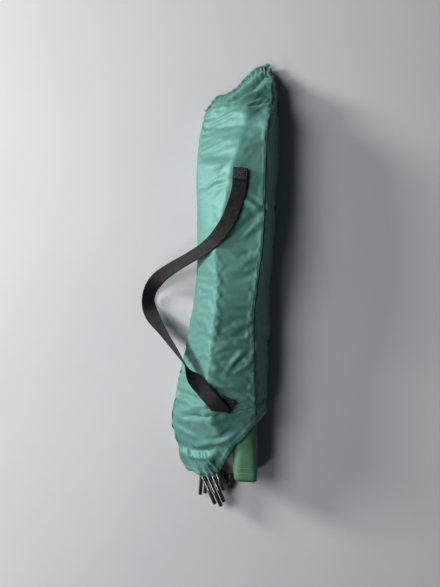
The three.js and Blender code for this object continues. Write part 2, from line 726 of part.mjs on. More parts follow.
function roundedBlock(width, depth, height, radius) {
  const shape = new THREE.Shape();
  const [x, z] = [width / 2, height / 2];
  shape.moveTo(-x + radius, -z);
  shape.lineTo(x - radius, -z);
  shape.absarc(x - radius, -z + radius, radius, -Math.PI / 2, 0);
  shape.lineTo(x, z - radius);
  shape.absarc(x - radius, z - radius, radius, 0, Math.PI / 2);
  shape.lineTo(-x + radius, z);
  shape.absarc(-x + radius, z - radius, radius, Math.PI / 2, Math.PI);
  shape.lineTo(-x, -z + radius);
  shape.absarc(-x + radius, -z + radius, radius, Math.PI, Math.PI * 1.5);
  const geometry = new THREE.ExtrudeGeometry(shape, { depth, bevelEnabled: false, curveSegments: 4 });
  geometry.rotateX(Math.PI / 2);
  geometry.translate(0, depth / 2, 0);
  return geometry;
}

function slotCutter(length, height, y) {
  const geometry = new THREE.BoxGeometry(LOCK.width * 2, length, height);
  geometry.translate(0, y, 0);
  return manifold(geometry);
}

const SLOT = { length: 2 * (CORD_APART + CORD_RADIUS) + 0.8, height: 2 * CORD_RADIUS + 0.8 };

function lockBarrel() {
  const length = LOCK.back + LOCK.front;
  const block = roundedBlock(LOCK.width, length, LOCK.height, 3.6);
  block.translate(0, (LOCK.back - LOCK.front) / 2, 0);
  const boreLength = LOCK.floor + LOCK.front + 1;
  const bore = new THREE.CylinderGeometry(LOCK.bore, LOCK.bore, boreLength, 20);
  bore.translate(0, LOCK.floor - boreLength / 2, 0);
  const solid = manifold(block)
    .subtract(manifold(bore))
    .subtract(slotCutter(SLOT.length, SLOT.height, 0));
  return fromManifold(solid).translate(LOCK.x, LOCK.y, LOCK.z);
}

function lockPlunger() {
  const [inner, outer, head] = [SLOT.length / 2 + 1.4, LOCK.front + PLUNGER_TRAVEL + 0.4, 3];
  const shaft = new THREE.CylinderGeometry(LOCK.plunger, LOCK.plunger, inner + outer, 20);
  shaft.translate(0, (inner - outer) / 2, 0);
  const button = roundedBlock(9, head, 9, 3.4);
  button.translate(0, -outer - head / 2 + 0.2, 0);
  const slot = slotCutter(SLOT.length + PLUNGER_TRAVEL, SLOT.height, -PLUNGER_TRAVEL / 2);
  const solid = manifold(shaft).add(manifold(button)).subtract(slot);
  return fromManifold(solid).translate(LOCK.x, LOCK.y, LOCK.z);
}

function lockSpring() {
  const [from, to] = [SLOT.length / 2 + 1.4 + GAP, LOCK.floor - GAP];
  const [wire, radius, turns] = [0.35, 2.9, 3];
  const steps = turns * 12;
  const frames = Array.from({ length: steps + 1 }, (_, i) => {
    const angle = (i / 12) * 2 * Math.PI;
    const side = v3(Math.cos(angle), 0, Math.sin(angle));
    const y = mix(from + wire, to - wire, i / steps);
    return { at: side.clone().multiplyScalar(radius).setY(y), side, up: v3(0, 1, 0) };
  });
  return loft(sweepRings(circle(wire, 6), frames)).translate(LOCK.x, LOCK.y, LOCK.z);
}

// Each tail runs from the eyelet in the hem, through the lock, to the knot.
const KNOT = { x: 43.5, z: 5.2, radius: 3.1 };
const EYELET = { x: 9.8, y: -318.6, z: 5.2 };

const TAIL_ROUTE = [
  [EYELET.x + 1.6, EYELET.y, EYELET.z],
  [EYELET.x + 5, EYELET.y - 2.2, EYELET.z - 1],
  [LOCK.x - 9.5, LOCK.y + 1.6, LOCK.z - 1.6],
  [LOCK.x - 5, LOCK.y, LOCK.z],
  [LOCK.x + 5, LOCK.y, LOCK.z],
  [KNOT.x - KNOT.radius - GAP, LOCK.y, LOCK.z],
].map((p) => v3(...p));

// One of the two tails, to either side of their common line.
function tailRoute(sign) {
  return TAIL_ROUTE.map((p, i) => {
    const before = TAIL_ROUTE[Math.max(0, i - 1)];
    const after = TAIL_ROUTE[Math.min(TAIL_ROUTE.length - 1, i + 1)];
    const across = after.clone().sub(before).cross(v3(0, 0, -1)).normalize();
    return p.clone().addScaledVector(across, sign * CORD_APART);
  });
}

function drawcordTail(sign) {
  const section = new THREE.Shape(circle(CORD_RADIUS, 8).map(([x, y]) => new THREE.Vector2(x, y)));
  const route = new THREE.CatmullRomCurve3(tailRoute(sign));
  return new THREE.ExtrudeGeometry(section, { steps: 14, extrudePath: route, bevelEnabled: false });
}

function cordKnot() {
  const knot = new THREE.SphereGeometry(KNOT.radius, 12, 8);
  knot.scale(1, 1.3, 0.9);
  return knot.translate(KNOT.x, LOCK.y, KNOT.z);
}

function hemEyelet() {
  const ring = new THREE.TorusGeometry(4.2, 0.7, 6, 16);
  ring.scale(1, 0.62, 1);
  ring.rotateY(Math.PI / 2);
  ring.rotateX(Math.PI / 2);
  return ring.translate(EYELET.x, EYELET.y, EYELET.z);
}

function drawcordParts() {
  return [
    part('cord_lock_barrel', lockBarrel(), COLOUR.black, 0.45),
    part('cord_lock_plunger', lockPlunger(), COLOUR.black, 0.45),
    part('cord_lock_spring', lockSpring(), COLOUR.steel, 0.3, 1),
    part('drawcord_tail_front', drawcordTail(-1), COLOUR.black, 0.8),
    part('drawcord_tail_rear', drawcordTail(1), COLOUR.black, 0.8),
    part('drawcord_knot', cordKnot(), COLOUR.black, 0.8),
    part('drawcord_eyelet', hemEyelet(), COLOUR.black, 0.4, 0.5),
  ];
}

// ---------------------------------------------------------------- the whole object
const group = new THREE.Group();
group.add(...carryBag(), ...strapParts(), ...tentRolls());
group.add(...pegParts(), ...poleParts(), ...drawcordParts());

export default group;
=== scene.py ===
"""The looks of a packed tent in its carry bag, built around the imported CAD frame. Metres, +Z up.

+Y runs along the bag towards its closed end, +X towards its side seam.
"""
import math

import bmesh
import bpy
import numpy as np
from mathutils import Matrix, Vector
from mathutils.bvhtree import BVHTree
from mathutils.kdtree import KDTree


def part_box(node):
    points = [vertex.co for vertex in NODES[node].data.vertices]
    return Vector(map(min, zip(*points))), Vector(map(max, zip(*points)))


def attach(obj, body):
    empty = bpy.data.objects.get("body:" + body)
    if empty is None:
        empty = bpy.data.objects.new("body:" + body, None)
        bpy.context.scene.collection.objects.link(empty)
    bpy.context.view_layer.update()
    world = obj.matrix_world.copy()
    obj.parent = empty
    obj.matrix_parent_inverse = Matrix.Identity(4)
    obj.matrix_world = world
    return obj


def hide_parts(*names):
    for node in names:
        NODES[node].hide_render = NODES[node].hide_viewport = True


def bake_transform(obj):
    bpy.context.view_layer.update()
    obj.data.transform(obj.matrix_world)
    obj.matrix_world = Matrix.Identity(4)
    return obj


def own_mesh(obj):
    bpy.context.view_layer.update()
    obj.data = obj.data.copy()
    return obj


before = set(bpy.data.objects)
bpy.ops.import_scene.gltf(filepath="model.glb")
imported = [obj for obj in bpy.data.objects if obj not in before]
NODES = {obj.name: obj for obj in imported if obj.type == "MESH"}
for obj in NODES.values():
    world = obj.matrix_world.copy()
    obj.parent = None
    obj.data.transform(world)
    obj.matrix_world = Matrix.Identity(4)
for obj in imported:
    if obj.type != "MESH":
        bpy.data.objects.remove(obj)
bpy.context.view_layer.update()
MM = 0.001

# ------------------------------------------------------------------------- camera, floor and light
CAMERA_HEIGHT = 1.4
VIEW_HEIGHT = 0.998  # how much the picture's long side covers at the height of the bag's middle
VIEW_PLANE = 0.065
TILT = math.atan(23 / 345)  # the bag's axis leans this much to the right in the picture


def make_camera():
    data = bpy.data.cameras.new("camera")
    data.sensor_width = 36.0
    half = math.atan(VIEW_HEIGHT / 2 / (CAMERA_HEIGHT - VIEW_PLANE))
    data.lens = data.sensor_width / 2 / math.tan(half)
    camera = bpy.data.objects.new("camera", data)
    camera.location = (-0.0143, -0.00095, CAMERA_HEIGHT)
    camera.rotation_euler = (0.0, 0.0, TILT)
    bpy.context.scene.collection.objects.link(camera)
    bpy.context.scene.camera = camera


def make_light(name, location, target, size, power, colour):
    data = bpy.data.lights.new(name, "AREA")
    data.shape = "DISK"
    data.size = size
    data.energy = power
    data.color = colour
    light = bpy.data.objects.new(name, data)
    light.location = location
    aim = Vector(target) - Vector(location)
    light.rotation_euler = aim.to_track_quat("-Z", "Y").to_euler()
    bpy.context.scene.collection.objects.link(light)


def make_studio():
    make_light("key", (-1.38, 0.16, 1.71), (0.0, 0.0, 0.05), 1.05, 29.5, (1.0, 1.0, 1.0))
    make_light("glint", (-0.80, -1.24, 1.61), (0.0, -0.33, 0.02), 0.42, 6.0, (1.0, 1.0, 1.0))
    make_light("low_key", (-2.26, 0.74, 0.80), (0.0, 0.0, 0.05), 0.65, 82.0, (1.0, 0.98, 0.96))
    world = bpy.data.worlds.new("world")
    world.use_nodes = True
    background = world.node_tree.nodes["Background"]
    background.inputs["Color"].default_value = (0.80, 0.86, 0.92, 1.0)
    background.inputs["Strength"].default_value = 0.036
    bpy.context.scene.world = world
    bpy.context.scene.view_settings.view_transform = "Standard"


# ------------------------------------------------------------------------- mesh helpers
def spline(points, where, closed=False):
    """Catmull-Rom through the points along their first axis, at fractional indices."""
    count = len(points)
    base = np.floor(where).astype(int)
    t = (where - base).reshape((-1,) + (1,) * (points.ndim - 1))
    around = [base + k for k in (-1, 0, 1, 2)]
    around = [i % count if closed else np.clip(i, 0, count - 1) for i in around]
    a, b, c, d = (points[i] for i in around)
    cubic = -a + 3 * b - 3 * c + d
    return 0.5 * (2 * b + (c - a) * t + (2 * a - 5 * b + 4 * c - d) * t ** 2 + cubic * t ** 3)


def evenly(points, spacing, closed=False):
    """Points along the spline through the given points, about the given spacing apart."""
    points = np.asarray(points, float)
    last = len(points) if closed else len(points) - 1
    fine = np.linspace(0, last, 40 * last + 1)
    line = spline(points, fine, closed)
    reach = np.concatenate([[0], np.cumsum(np.linalg.norm(np.diff(line, axis=0), axis=1))])
    steps = max(2, round(reach[-1] / spacing))
    wanted = np.linspace(0, reach[-1], steps + 1)
    if closed:
        wanted = wanted[:-1]
    return spline(points, np.interp(wanted, reach, fine), closed)


def smoothstep(low, high, value):
    t = np.clip((value - low) / (high - low), 0, 1)
    return t * t * (3 - 2 * t)


def unit(vectors):
    return vectors / np.maximum(np.linalg.norm(vectors, axis=-1, keepdims=True), 1e-12)


def grid_normals(grid):
    """Outward normals of a grid of rows that wrap around and run away from the closed end."""
    along = np.gradient(grid, axis=0)
    around = np.roll(grid, -1, axis=1) - np.roll(grid, 1, axis=1)
    return unit(np.cross(around, along))


def add_object(name, vertices, faces, material, uvs=None):
    mesh = bpy.data.meshes.new(name)
    mesh.from_pydata([tuple(v) for v in vertices], [], faces)
    mesh.materials.append(material)
    if uvs is not None:
        layer = mesh.uv_layers.new(name="cloth")
        corner_uvs = np.asarray(uvs, np.float32)
        if len(corner_uvs) == len(mesh.vertices):
            index = np.empty(len(mesh.loops), int)
            mesh.loops.foreach_get("vertex_index", index)
            corner_uvs = corner_uvs[index]
        layer.data.foreach_set("uv", corner_uvs.ravel())
    mesh.shade_smooth()
    obj = bpy.data.objects.new(name, mesh)
    bpy.context.scene.collection.objects.link(obj)
    return obj


def grid_faces(rows, columns, wrap):
    """Quads of a grid; wrap joins the last column to the first."""
    faces = []
    for r in range(rows - 1):
        for c in range(columns if wrap else columns - 1):
            nxt = (c + 1) % columns
            faces.append((r * columns + c, r * columns + nxt, (r + 1) * columns + nxt,
                          (r + 1) * columns + c))
    return faces


def frames_along(path, face=None):
    """Tangents, sides and ups along a path; face gives the way the upper side looks."""
    path = np.asarray(path, float)
    tangent = unit(np.gradient(path, axis=0))
    if face is None:
        face = np.array([0.0, 0.0, 1.0])
        if abs(tangent[:, 2]).max() > 0.95:
            face = np.array([0.3, 1.0, 0.0])
    side = unit(np.cross(tangent, np.broadcast_to(face, path.shape)))
    up = np.cross(side, tangent)
    return tangent, side, up


def sweep(name, path, section, material, face=None, capped=True, scale=None):
    """A closed section, as (side, up) points, carried along a path. Its UVs are in metres."""
    path = np.asarray(path, float)
    section = np.asarray(section, float)
    _, side, up = frames_along(path, face)
    size = np.ones(len(path)) if scale is None else np.asarray(scale)
    rings = [path[i] + size[i] * (section[:, :1] * side[i] + section[:, 1:] * up[i])
             for i in range(len(path))]
    vertices = np.concatenate(rings)
    count = len(section)
    faces = grid_faces(len(path), count, True)
    if capped:
        faces.append(tuple(range(count))[::-1])
        faces.append(tuple((len(path) - 1) * count + i for i in range(count)))
    run = np.concatenate([[0], np.cumsum(np.linalg.norm(np.diff(path, axis=0), axis=1))])
    edge = np.linalg.norm(np.roll(section, -1, axis=0) - section, axis=1)
    across = np.concatenate([[0], np.cumsum(edge)[:-1]])
    uvs = [(run[i], across[s]) for i in range(len(path)) for s in range(count)]
    return add_object(name, vertices, faces, material, uvs)


def circle(radius, sides, squash=1.0):
    angles = np.arange(sides) / sides * 2 * np.pi
    return np.stack([radius * np.cos(angles), squash * radius * np.sin(angles)], axis=1)


def rounded_flat(width, thick, steps=4):
    """The section of webbing: flat, with half-round edges."""
    radius = thick / 2
    right = [(width / 2 - radius + radius * math.sin(a), -radius * math.cos(a))
             for a in np.linspace(0, math.pi, steps + 1)]
    flat = np.linspace(width / 2 - radius, -width / 2 + radius, 9)[1:-1]
    left = [(-x, -z) for x, z in right]
    top = [(x, radius) for x in flat]
    bottom = [(-x, -radius) for x in flat]
    return np.array(right + top + left + bottom)


def modifier(obj, kind, **values):
    made = obj.modifiers.new(kind.lower(), kind)
    for key, value in values.items():
        setattr(made, key, value)
    return made


def baked(obj):
    """Applies the object's modifiers to its mesh."""
    graph = bpy.context.evaluated_depsgraph_get()
    mesh = bpy.data.meshes.new_from_object(obj.evaluated_get(graph))
    obj.modifiers.clear()
    obj.data = mesh
    return obj


def tree_of(obj):
    bm = bmesh.new()
    bm.from_mesh(obj.data)
    tree = BVHTree.FromBMesh(bm)
    bm.free()
    return tree


# ------------------------------------------------------------------------- materials
class Shade:
    """A procedural material under construction."""

    def __init__(self, name, roughness, **sockets):
        self.material = bpy.data.materials.new(name)
        self.material.use_nodes = True
        self.tree = self.material.node_tree
        self.shader = self.tree.nodes["Principled BSDF"]
        self.shader.inputs["Roughness"].default_value = roughness
        for key, value in sockets.items():
            self.shader.inputs[key.replace("_", " ")].default_value = value
        self.normal = None

    def node(self, kind, **values):
        made = self.tree.nodes.new("ShaderNode" + kind)
        for key, value in values.items():
            if key in made.inputs:
                made.inputs[key].default_value = value
            else:
                setattr(made, key, value)
        return made

    def link(self, source, target):
        self.tree.links.new(source, target)

    def place(self, use_uv=False, stretch=(1, 1, 1)):
        """Coordinates in metres: the cloth's own, or the object's."""
        coordinates = self.node("TexCoord")
        mapping = self.node("Mapping")
        mapping.inputs["Scale"].default_value = stretch
        self.link(coordinates.outputs["UV" if use_uv else "Object"], mapping.inputs["Vector"])
        return mapping.outputs["Vector"]

    def noise(self, scale, detail=3.0, use_uv=False, stretch=(1, 1, 1), roughness=0.5):
        made = self.node("TexNoise", Scale=scale, Detail=detail, Roughness=roughness)
        self.link(self.place(use_uv, stretch), made.inputs["Vector"])
        return made.outputs["Fac"]

    def wave(self, pitch, axis, use_uv=True, distortion=0.0):
        """Stripes at the given pitch in metres, across U (X) or V (Y)."""
        made = self.node("TexWave", bands_direction=axis, Scale=0.314 / pitch,
                         Distortion=distortion)
        self.link(self.place(use_uv), made.inputs["Vector"])
        return made.outputs["Fac"]

    def colours(self, value, stops):
        ramp = self.node("ValToRGB")
        elements = ramp.color_ramp.elements
        while len(elements) < len(stops):
            elements.new(0.5)
        for element, (position, colour) in zip(elements, stops):
            element.position = position
            element.color = (*colour, 1.0)
        self.link(value, ramp.inputs["Fac"])
        self.link(ramp.outputs["Color"], self.shader.inputs["Base Color"])

    def rough(self, value, low, high):
        span = self.node("MapRange")
        span.inputs["To Min"].default_value = low
        span.inputs["To Max"].default_value = high
        self.link(value, span.inputs["Value"])
        self.link(span.outputs["Result"], self.shader.inputs["Roughness"])

    def bump(self, value, height, strength=1.0):
        made = self.node("Bump", Strength=strength, Distance=height)
        self.link(value, made.inputs["Height"])
        if self.normal is not None:
            self.link(self.normal, made.inputs["Normal"])
        self.normal = made.outputs["Normal"]
        self.link(self.normal, self.shader.inputs["Normal"])
        return self


def nylon(name, dark, mid, light, roughness=0.5, sheen=0.2):
    gloss = tuple(0.25 + 5.0 * c for c in mid)
    shade = Shade(name, roughness, Sheen_Weight=sheen, Sheen_Roughness=0.4, Specular_IOR_Level=0.6,
                  Specular_Tint=(*gloss, 1.0), Sheen_Tint=(*gloss, 1.0))
    shade.colours(shade.noise(7.0, 4.0), [(0.32, dark), (0.5, mid), (0.68, light)])
    shade.rough(shade.noise(38.0, 3.0), roughness - 0.05, roughness + 0.09)
    shade.bump(shade.noise(46.0, 4.0, stretch=(1, 0.6, 1)), 0.0012, 0.35)
    shade.bump(shade.noise(190.0, 3.0), 0.0003, 0.35)
    shade.bump(shade.wave(0.0009, "X"), 0.00006, 0.5)
    shade.bump(shade.wave(0.0009, "Y"), 0.00006, 0.5)
    return shade.material


def webbing(name, dark, light, roughness=0.62):
    shade = Shade(name, roughness, Sheen_Weight=0.02, Sheen_Roughness=0.5, Specular_IOR_Level=0.16)
    shade.colours(shade.noise(160.0, 4.0), [(0.35, dark), (0.65, light)])
    shade.bump(shade.wave(0.0017, "X", distortion=0.6), 0.00035, 0.9)
    shade.bump(shade.wave(0.0021, "Y", distortion=0.4), 0.00025, 0.7)
    shade.bump(shade.noise(700.0, 2.0), 0.00012, 0.5)
    return shade.material


def thread(name, colour):
    shade = Shade(name, 0.6, Sheen_Weight=0.3)
    darker = tuple(0.7 * c for c in colour)
    shade.colours(shade.noise(900.0, 2.0), [(0.35, darker), (0.65, colour)])
    shade.bump(shade.noise(2500.0, 2.0), 0.0001, 0.6)
    return shade.material


def braid(name, dark, light):
    shade = Shade(name, 0.6, Sheen_Weight=0.3)
    shade.colours(shade.noise(900.0, 2.0), [(0.35, dark), (0.65, light)])
    shade.bump(shade.wave(0.0011, "X", distortion=1.5), 0.00025, 0.9)
    shade.bump(shade.wave(0.0009, "Y", distortion=1.0), 0.00015, 0.7)
    return shade.material


def paint(name, dark, light):
    shade = Shade(name, 0.2, Coat_Weight=1.0, Coat_Roughness=0.12, Coat_IOR=1.6,
                  Specular_IOR_Level=1.0, IOR=1.7)
    shade.colours(shade.noise(60.0, 5.0), [(0.4, dark), (0.62, light)])
    shade.rough(shade.noise(220.0, 5.0, stretch=(1, 0.06, 1)), 0.14, 0.38)
    shade.bump(shade.noise(900.0, 2.0, stretch=(1, 0.2, 1)), 0.00003, 0.3)
    return shade.material


def metal(name, dark, light, roughness=0.3):
    shade = Shade(name, roughness, Metallic=1.0)
    shade.colours(shade.noise(110.0, 5.0), [(0.35, dark), (0.65, light)])
    shade.rough(shade.noise(300.0, 4.0, stretch=(1, 0.1, 1)), roughness - 0.1, roughness + 0.15)
    shade.bump(shade.noise(1300.0, 2.0, stretch=(1, 0.1, 1)), 0.00002, 0.4)
    return shade.material


def moulded(name, dark, light, roughness):
    shade = Shade(name, roughness)
    shade.colours(shade.noise(90.0, 4.0), [(0.35, dark), (0.65, light)])
    shade.rough(shade.noise(260.0, 3.0), roughness - 0.08, roughness + 0.1)
    shade.bump(shade.noise(1500.0, 2.0), 0.00005, 0.4)
    return shade.material


BAG_CLOTH = nylon("bag_cloth", (0.060, 0.158, 0.137), (0.068, 0.178, 0.155), (0.079, 0.200, 0.174))
SEAM_CLOTH = nylon("seam_cloth", (0.010, 0.040, 0.034), (0.014, 0.052, 0.044), (0.02, 0.066, 0.056))
# Partly painted shade: the flysheet's own green, set darker than the cloth really is to stand in for the
# shade that the bag's rim casts on the roll.
FLY_CLOTH_PAINTED_SHADE = nylon("flysheet_cloth_painted_shade", (0.045, 0.116, 0.066), (0.054, 0.135, 0.078),
                  (0.064, 0.158, 0.091), 0.6, 0.1)
INNER_CLOTH = nylon("inner_cloth", (0.30, 0.33, 0.27), (0.36, 0.39, 0.32), (0.42, 0.45, 0.38), 0.65)
POUCH_CLOTH = nylon("pouch_cloth", (0.02, 0.022, 0.026), (0.028, 0.03, 0.034), (0.04, 0.042, 0.047), 0.6)
STRAP_WEBBING = webbing("strap_webbing", (0.006, 0.006, 0.007), (0.016, 0.016, 0.017))
TIE_WEBBING = webbing("tie_webbing", (0.012, 0.012, 0.013), (0.03, 0.03, 0.032), 0.75)
BLACK_THREAD = thread("black_thread", (0.075, 0.075, 0.08))
GREEN_THREAD = thread("green_thread", (0.30, 0.48, 0.43))
BLACK_CORD = braid("black_cord", (0.012, 0.012, 0.013), (0.034, 0.034, 0.037))
POLE_PAINT = paint("pole_paint", (0.008, 0.008, 0.009), (0.020, 0.020, 0.022))
STEEL = metal("steel", (0.42, 0.43, 0.45), (0.62, 0.63, 0.65))
RUBBER = moulded("rubber", (0.010, 0.010, 0.011), (0.022, 0.022, 0.023), 0.75)
LOCK_PLASTIC = moulded("lock_plastic", (0.008, 0.008, 0.009), (0.018, 0.018, 0.019), 0.34)


def floor_material():
    shade = Shade("floor", 0.85)
    shade.colours(shade.noise(3.0, 5.0), [(0.3, (0.50, 0.505, 0.515)), (0.7, (0.535, 0.54, 0.545))])
    shade.bump(shade.noise(420.0, 3.0), 0.0004, 0.3)
    return shade.material


def make_floor():
    half = 4.0
    corners = [(-half, -half, 0), (half, -half, 0), (half, half, 0), (-half, half, 0)]
    floor = add_object("floor", corners, [(0, 1, 2, 3)], floor_material())
    floor.location.z = -0.0004


make_camera()
make_studio()
make_floor()

# ------------------------------------------------------------------------- drawcord tails and knot
CORD_RADIUS = 1.25 * MM
CORD_APART = 1.45 * MM
LOCK = np.array([27.5, -329.0, 6.1]) * MM  # middle of the lock's cord hole
EYELET = np.array([9.8, -318.6, 5.2]) * MM
KNOT = np.array([43.5, -329.0, 5.2]) * MM
KNOT_RADIUS = 3.1 * MM
TAIL_ROUTE = np.array([
    EYELET + (1.6 * MM, 0, 0),
    EYELET + (5 * MM, -2.2 * MM, -1 * MM),
    LOCK + (-9.5 * MM, 1.6 * MM, -1.6 * MM),
    LOCK + (-5 * MM, 0, 0),
    LOCK + (5 * MM, 0, 0),
    [KNOT[0] - KNOT_RADIUS - 0.35 * MM, LOCK[1], LOCK[2]],
])


def tail_line(sign):
    """One of the two tails, to either side of their common line."""
    heading = np.array([TAIL_ROUTE[min(i + 1, 5)] - TAIL_ROUTE[max(i - 1, 0)] for i in range(6)])
    across = unit(np.cross(heading, [0.0, 0.0, -1.0]))
    return evenly(TAIL_ROUTE + sign * CORD_APART * across, 0.9 * MM)


def make_knot():
    """The tails' common stopper knot: a cord tied through itself, as one closed loop."""
    turns = np.linspace(0, 2 * math.pi, 91)[:-1]
    loop = np.stack([
        np.sin(turns) + 2 * np.sin(2 * turns),
        np.cos(turns) - 2 * np.cos(2 * turns),
        -1.1 * np.sin(3 * turns),
    ], axis=1)
    loop *= (KNOT_RADIUS - CORD_RADIUS * 0.9) / 3 * np.array([1.0, 1.25, 0.95])
    line = KNOT + loop
    line = np.concatenate([line, line[:1]])
    knot = sweep("drawcord_stopper_knot", line, circle(CORD_RADIUS * 0.86, 12), BLACK_CORD,
                 capped=False)
    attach(knot, "carry_bag")
    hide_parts("drawcord_knot")
    return knot


SPRING_WIRE = 0.3 * MM
SPRING_TURNS = 3


def make_spring():
    """The coil behind the lock's button, at the length of its CAD part."""
    low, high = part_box("cord_lock_spring")
    radius = (high.x - low.x) / 2 - SPRING_WIRE
    turns = np.linspace(0, 2 * math.pi * SPRING_TURNS, 24 * SPRING_TURNS + 1)
    line = np.stack([
        LOCK[0] + radius * np.cos(turns),
        np.linspace(low.y + SPRING_WIRE, high.y - SPRING_WIRE, len(turns)),
        LOCK[2] + radius * np.sin(turns),
    ], axis=1)
    coil = sweep("cord_lock_coil", line, circle(SPRING_WIRE, 10), STEEL, face=np.array([0.0, 1.0, 0.0]))
    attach(coil, "cord_lock_body")
    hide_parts("cord_lock_spring")
    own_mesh(coil)
    return coil


def make_tails():
    knot = make_knot()
    on_cord = [knot, NODES["cord_lock_barrel"], NODES["cord_lock_plunger"], make_spring()]
    for name, sign, going in (("front", -1, on_cord), ("rear", 1, [])):
        line = tail_line(sign)
        tail = sweep(f"drawcord_{name}_tail", line, circle(CORD_RADIUS, 12), BLACK_CORD)
        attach(tail, "carry_bag")
        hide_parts(f"drawcord_tail_{name}")


make_tails()

# ------------------------------------------------------------------------- the bag's cloth
RINGS = 20  # rings of the CAD sleeve, from the closed end to the mouth
COLUMNS = 176
ROW_SPACING = 3.0 * MM
CLOTH_THICK = 0.35 * MM


def sleeve_rings():
    """The outer rings of the CAD sleeve, found by walking its mesh from the closed end."""
    bm = bmesh.new()
    bm.from_mesh(NODES["bag_shell"].data)
    bmesh.ops.remove_doubles(bm, verts=bm.verts, dist=1e-5)
    near = {v: {e.other_vert(v) for e in v.link_edges} for v in bm.verts}
    upright = [e.verts for e in bm.edges
               if (e.verts[0].co - e.verts[1].co).xy.length < 1e-6 and e.verts[0].co.y > 0.3]
    first = {v for pair in upright for v in pair}
    first |= {v for a, b in upright for v in near[a] & near[b]}
    middle = sum(v.co.z for v in first) / len(first)
    top = sorted((v for v in first if v.co.z > middle + 1e-6), key=lambda v: -v.co.x)
    bottom = sorted((v for v in first if v.co.z < middle - 1e-6), key=lambda v: v.co.x)
    ends = sorted((v for v in first if abs(v.co.z - middle) <= 1e-6), key=lambda v: -v.co.x)
    ring = [ends[0], *top, ends[1], *bottom]
    seen = set(ring)
    rings = [ring]
    while len(rings) < RINGS:
        ring = [next(iter((near[v] & near[ring[s - 1]]) - seen)) for s, v in enumerate(ring)]
        seen |= set(ring)
        rings.append(ring)
    points = np.array([[v.co[:] for v in ring] for ring in rings])
    bm.free()
    return points


def fine_sleeve():
    """A fine grid over the sleeve: rows from the closed end to the mouth, columns around it."""
    rings = sleeve_rings()
    rings[0, :, 2] = rings[0, :, 2].mean()  # both layers meet in the end seam
    around = np.arange(COLUMNS) * (rings.shape[1] / COLUMNS)
    rings = spline(rings.swapaxes(0, 1), around, closed=True).swapaxes(0, 1)
    step = np.linalg.norm(np.diff(rings, axis=0), axis=2).mean(axis=1)
    reach = np.concatenate([[0], np.cumsum(step)])
    rows = round(reach[-1] / ROW_SPACING)
    where = np.interp(np.linspace(0, reach[-1], rows + 1), reach, np.arange(RINGS))
    grid = spline(rings, where)
    grid[..., 2] = np.maximum(grid[..., 2], 0.0004)
    return grid


ROLL_LEAN = 0.06  # the rolls lean to +X towards the mouth
# How round each roll's upper left quarter is, as a superellipse's power: 2 is round and 1 is flat.
# The stretched cloth presses the inner tent's roll nearly flat there.
ROUNDNESS = {"flysheet_roll": 2.0, "inner_tent_roll": 1.04}
# The crest at the top of that pressed quarter wanders: its line in plan, in millimetres.
CREST = np.array([
    (-16, -206), (-24, -170), (-22, -130), (-19, -70), (-17, -20), (-21, 40), (-22, 80), (-18, 125),
    (-12, 160), (-7, 206),
]) * MM


def roll_oval(node):
    """A CAD roll as an oval section: where its middle line meets the mouth end, and its half sizes."""
    low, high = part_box(node)
    length = high.y - low.y
    half_width = (high.x - low.x - ROLL_LEAN * length) / 2
    return {
        "x": high.x - half_width, "z": (high.z + low.z) / 2, "from": low.y, "to": high.y,
        "rx": half_width, "rz": (high.z - low.z) / 2, "round": ROUNDNESS[node],
    }


def crest_shift(roll, y, above):
    """How far the roll's upper half is pushed sideways; above is 0 at mid height and 1 at the top."""
    if roll["round"] == 2.0:
        return 0.0 * y
    middle = roll["x"] - ROLL_LEAN * (y - roll["from"])
    return (np.interp(y, CREST[:, 1], CREST[:, 0]) - middle) * np.clip(above, 0, 1) ** 2


def smooth_min(a, b, soft):
    h = np.clip(0.5 + 0.5 * (b - a) / soft, 0, 1)
    return b + (a - b) * h - soft * h * (1 - h)


DRAPE_CLEARANCE = 3.6 * MM
DRAPE_SOFTNESS = 4.0 * MM
CONTENTS_CLEARANCE = 2.6 * MM  # the cloth stays this far off the rolls, outside their ties
ROLL_END_FALL = 0.8  # how steeply the cloth falls beyond the end of a roll, at most
ROLL_END_EASE = 30 * MM  # and the distance over which it starts to
EDGE_HEIGHT = 0.55  # how far down the cloth's side edges sit, as a share of the CAD sleeve's
# The right shoulder, which the side seam runs along: its line in plan and height, in millimetres.
SHOULDER = np.array([
    (57, -215, 86), (54, -190, 89), (48, -120, 91), (44, -60, 93), (43, -30, 96), (44, 10, 101),
    (47, 60, 103), (49, 120, 103), (46, 200, 101), (44, 262, 98), (44, 292, 90), (44, 330, 52),
]) * MM
# The crest of the cloth over the inner tent's roll, and on past both of its ends.
CREST_LINE = np.array([
    (4, -330, 36), (9, -300, 52), (11, -272, 70), (8, -246, 86), (-3, -222, 99), (-16, -204, 106),
    (-24, -170, 107), (-22, -130, 107), (-19, -70, 107), (-17, -20, 107), (-21, 40, 107),
    (-22, 80, 107), (-18, 125, 107), (-12, 160, 107), (-7, 206, 107), (0, 235, 103), (7, 262, 94),
    (13, 290, 78), (20, 320, 57), (28, 360, 32),
]) * MM


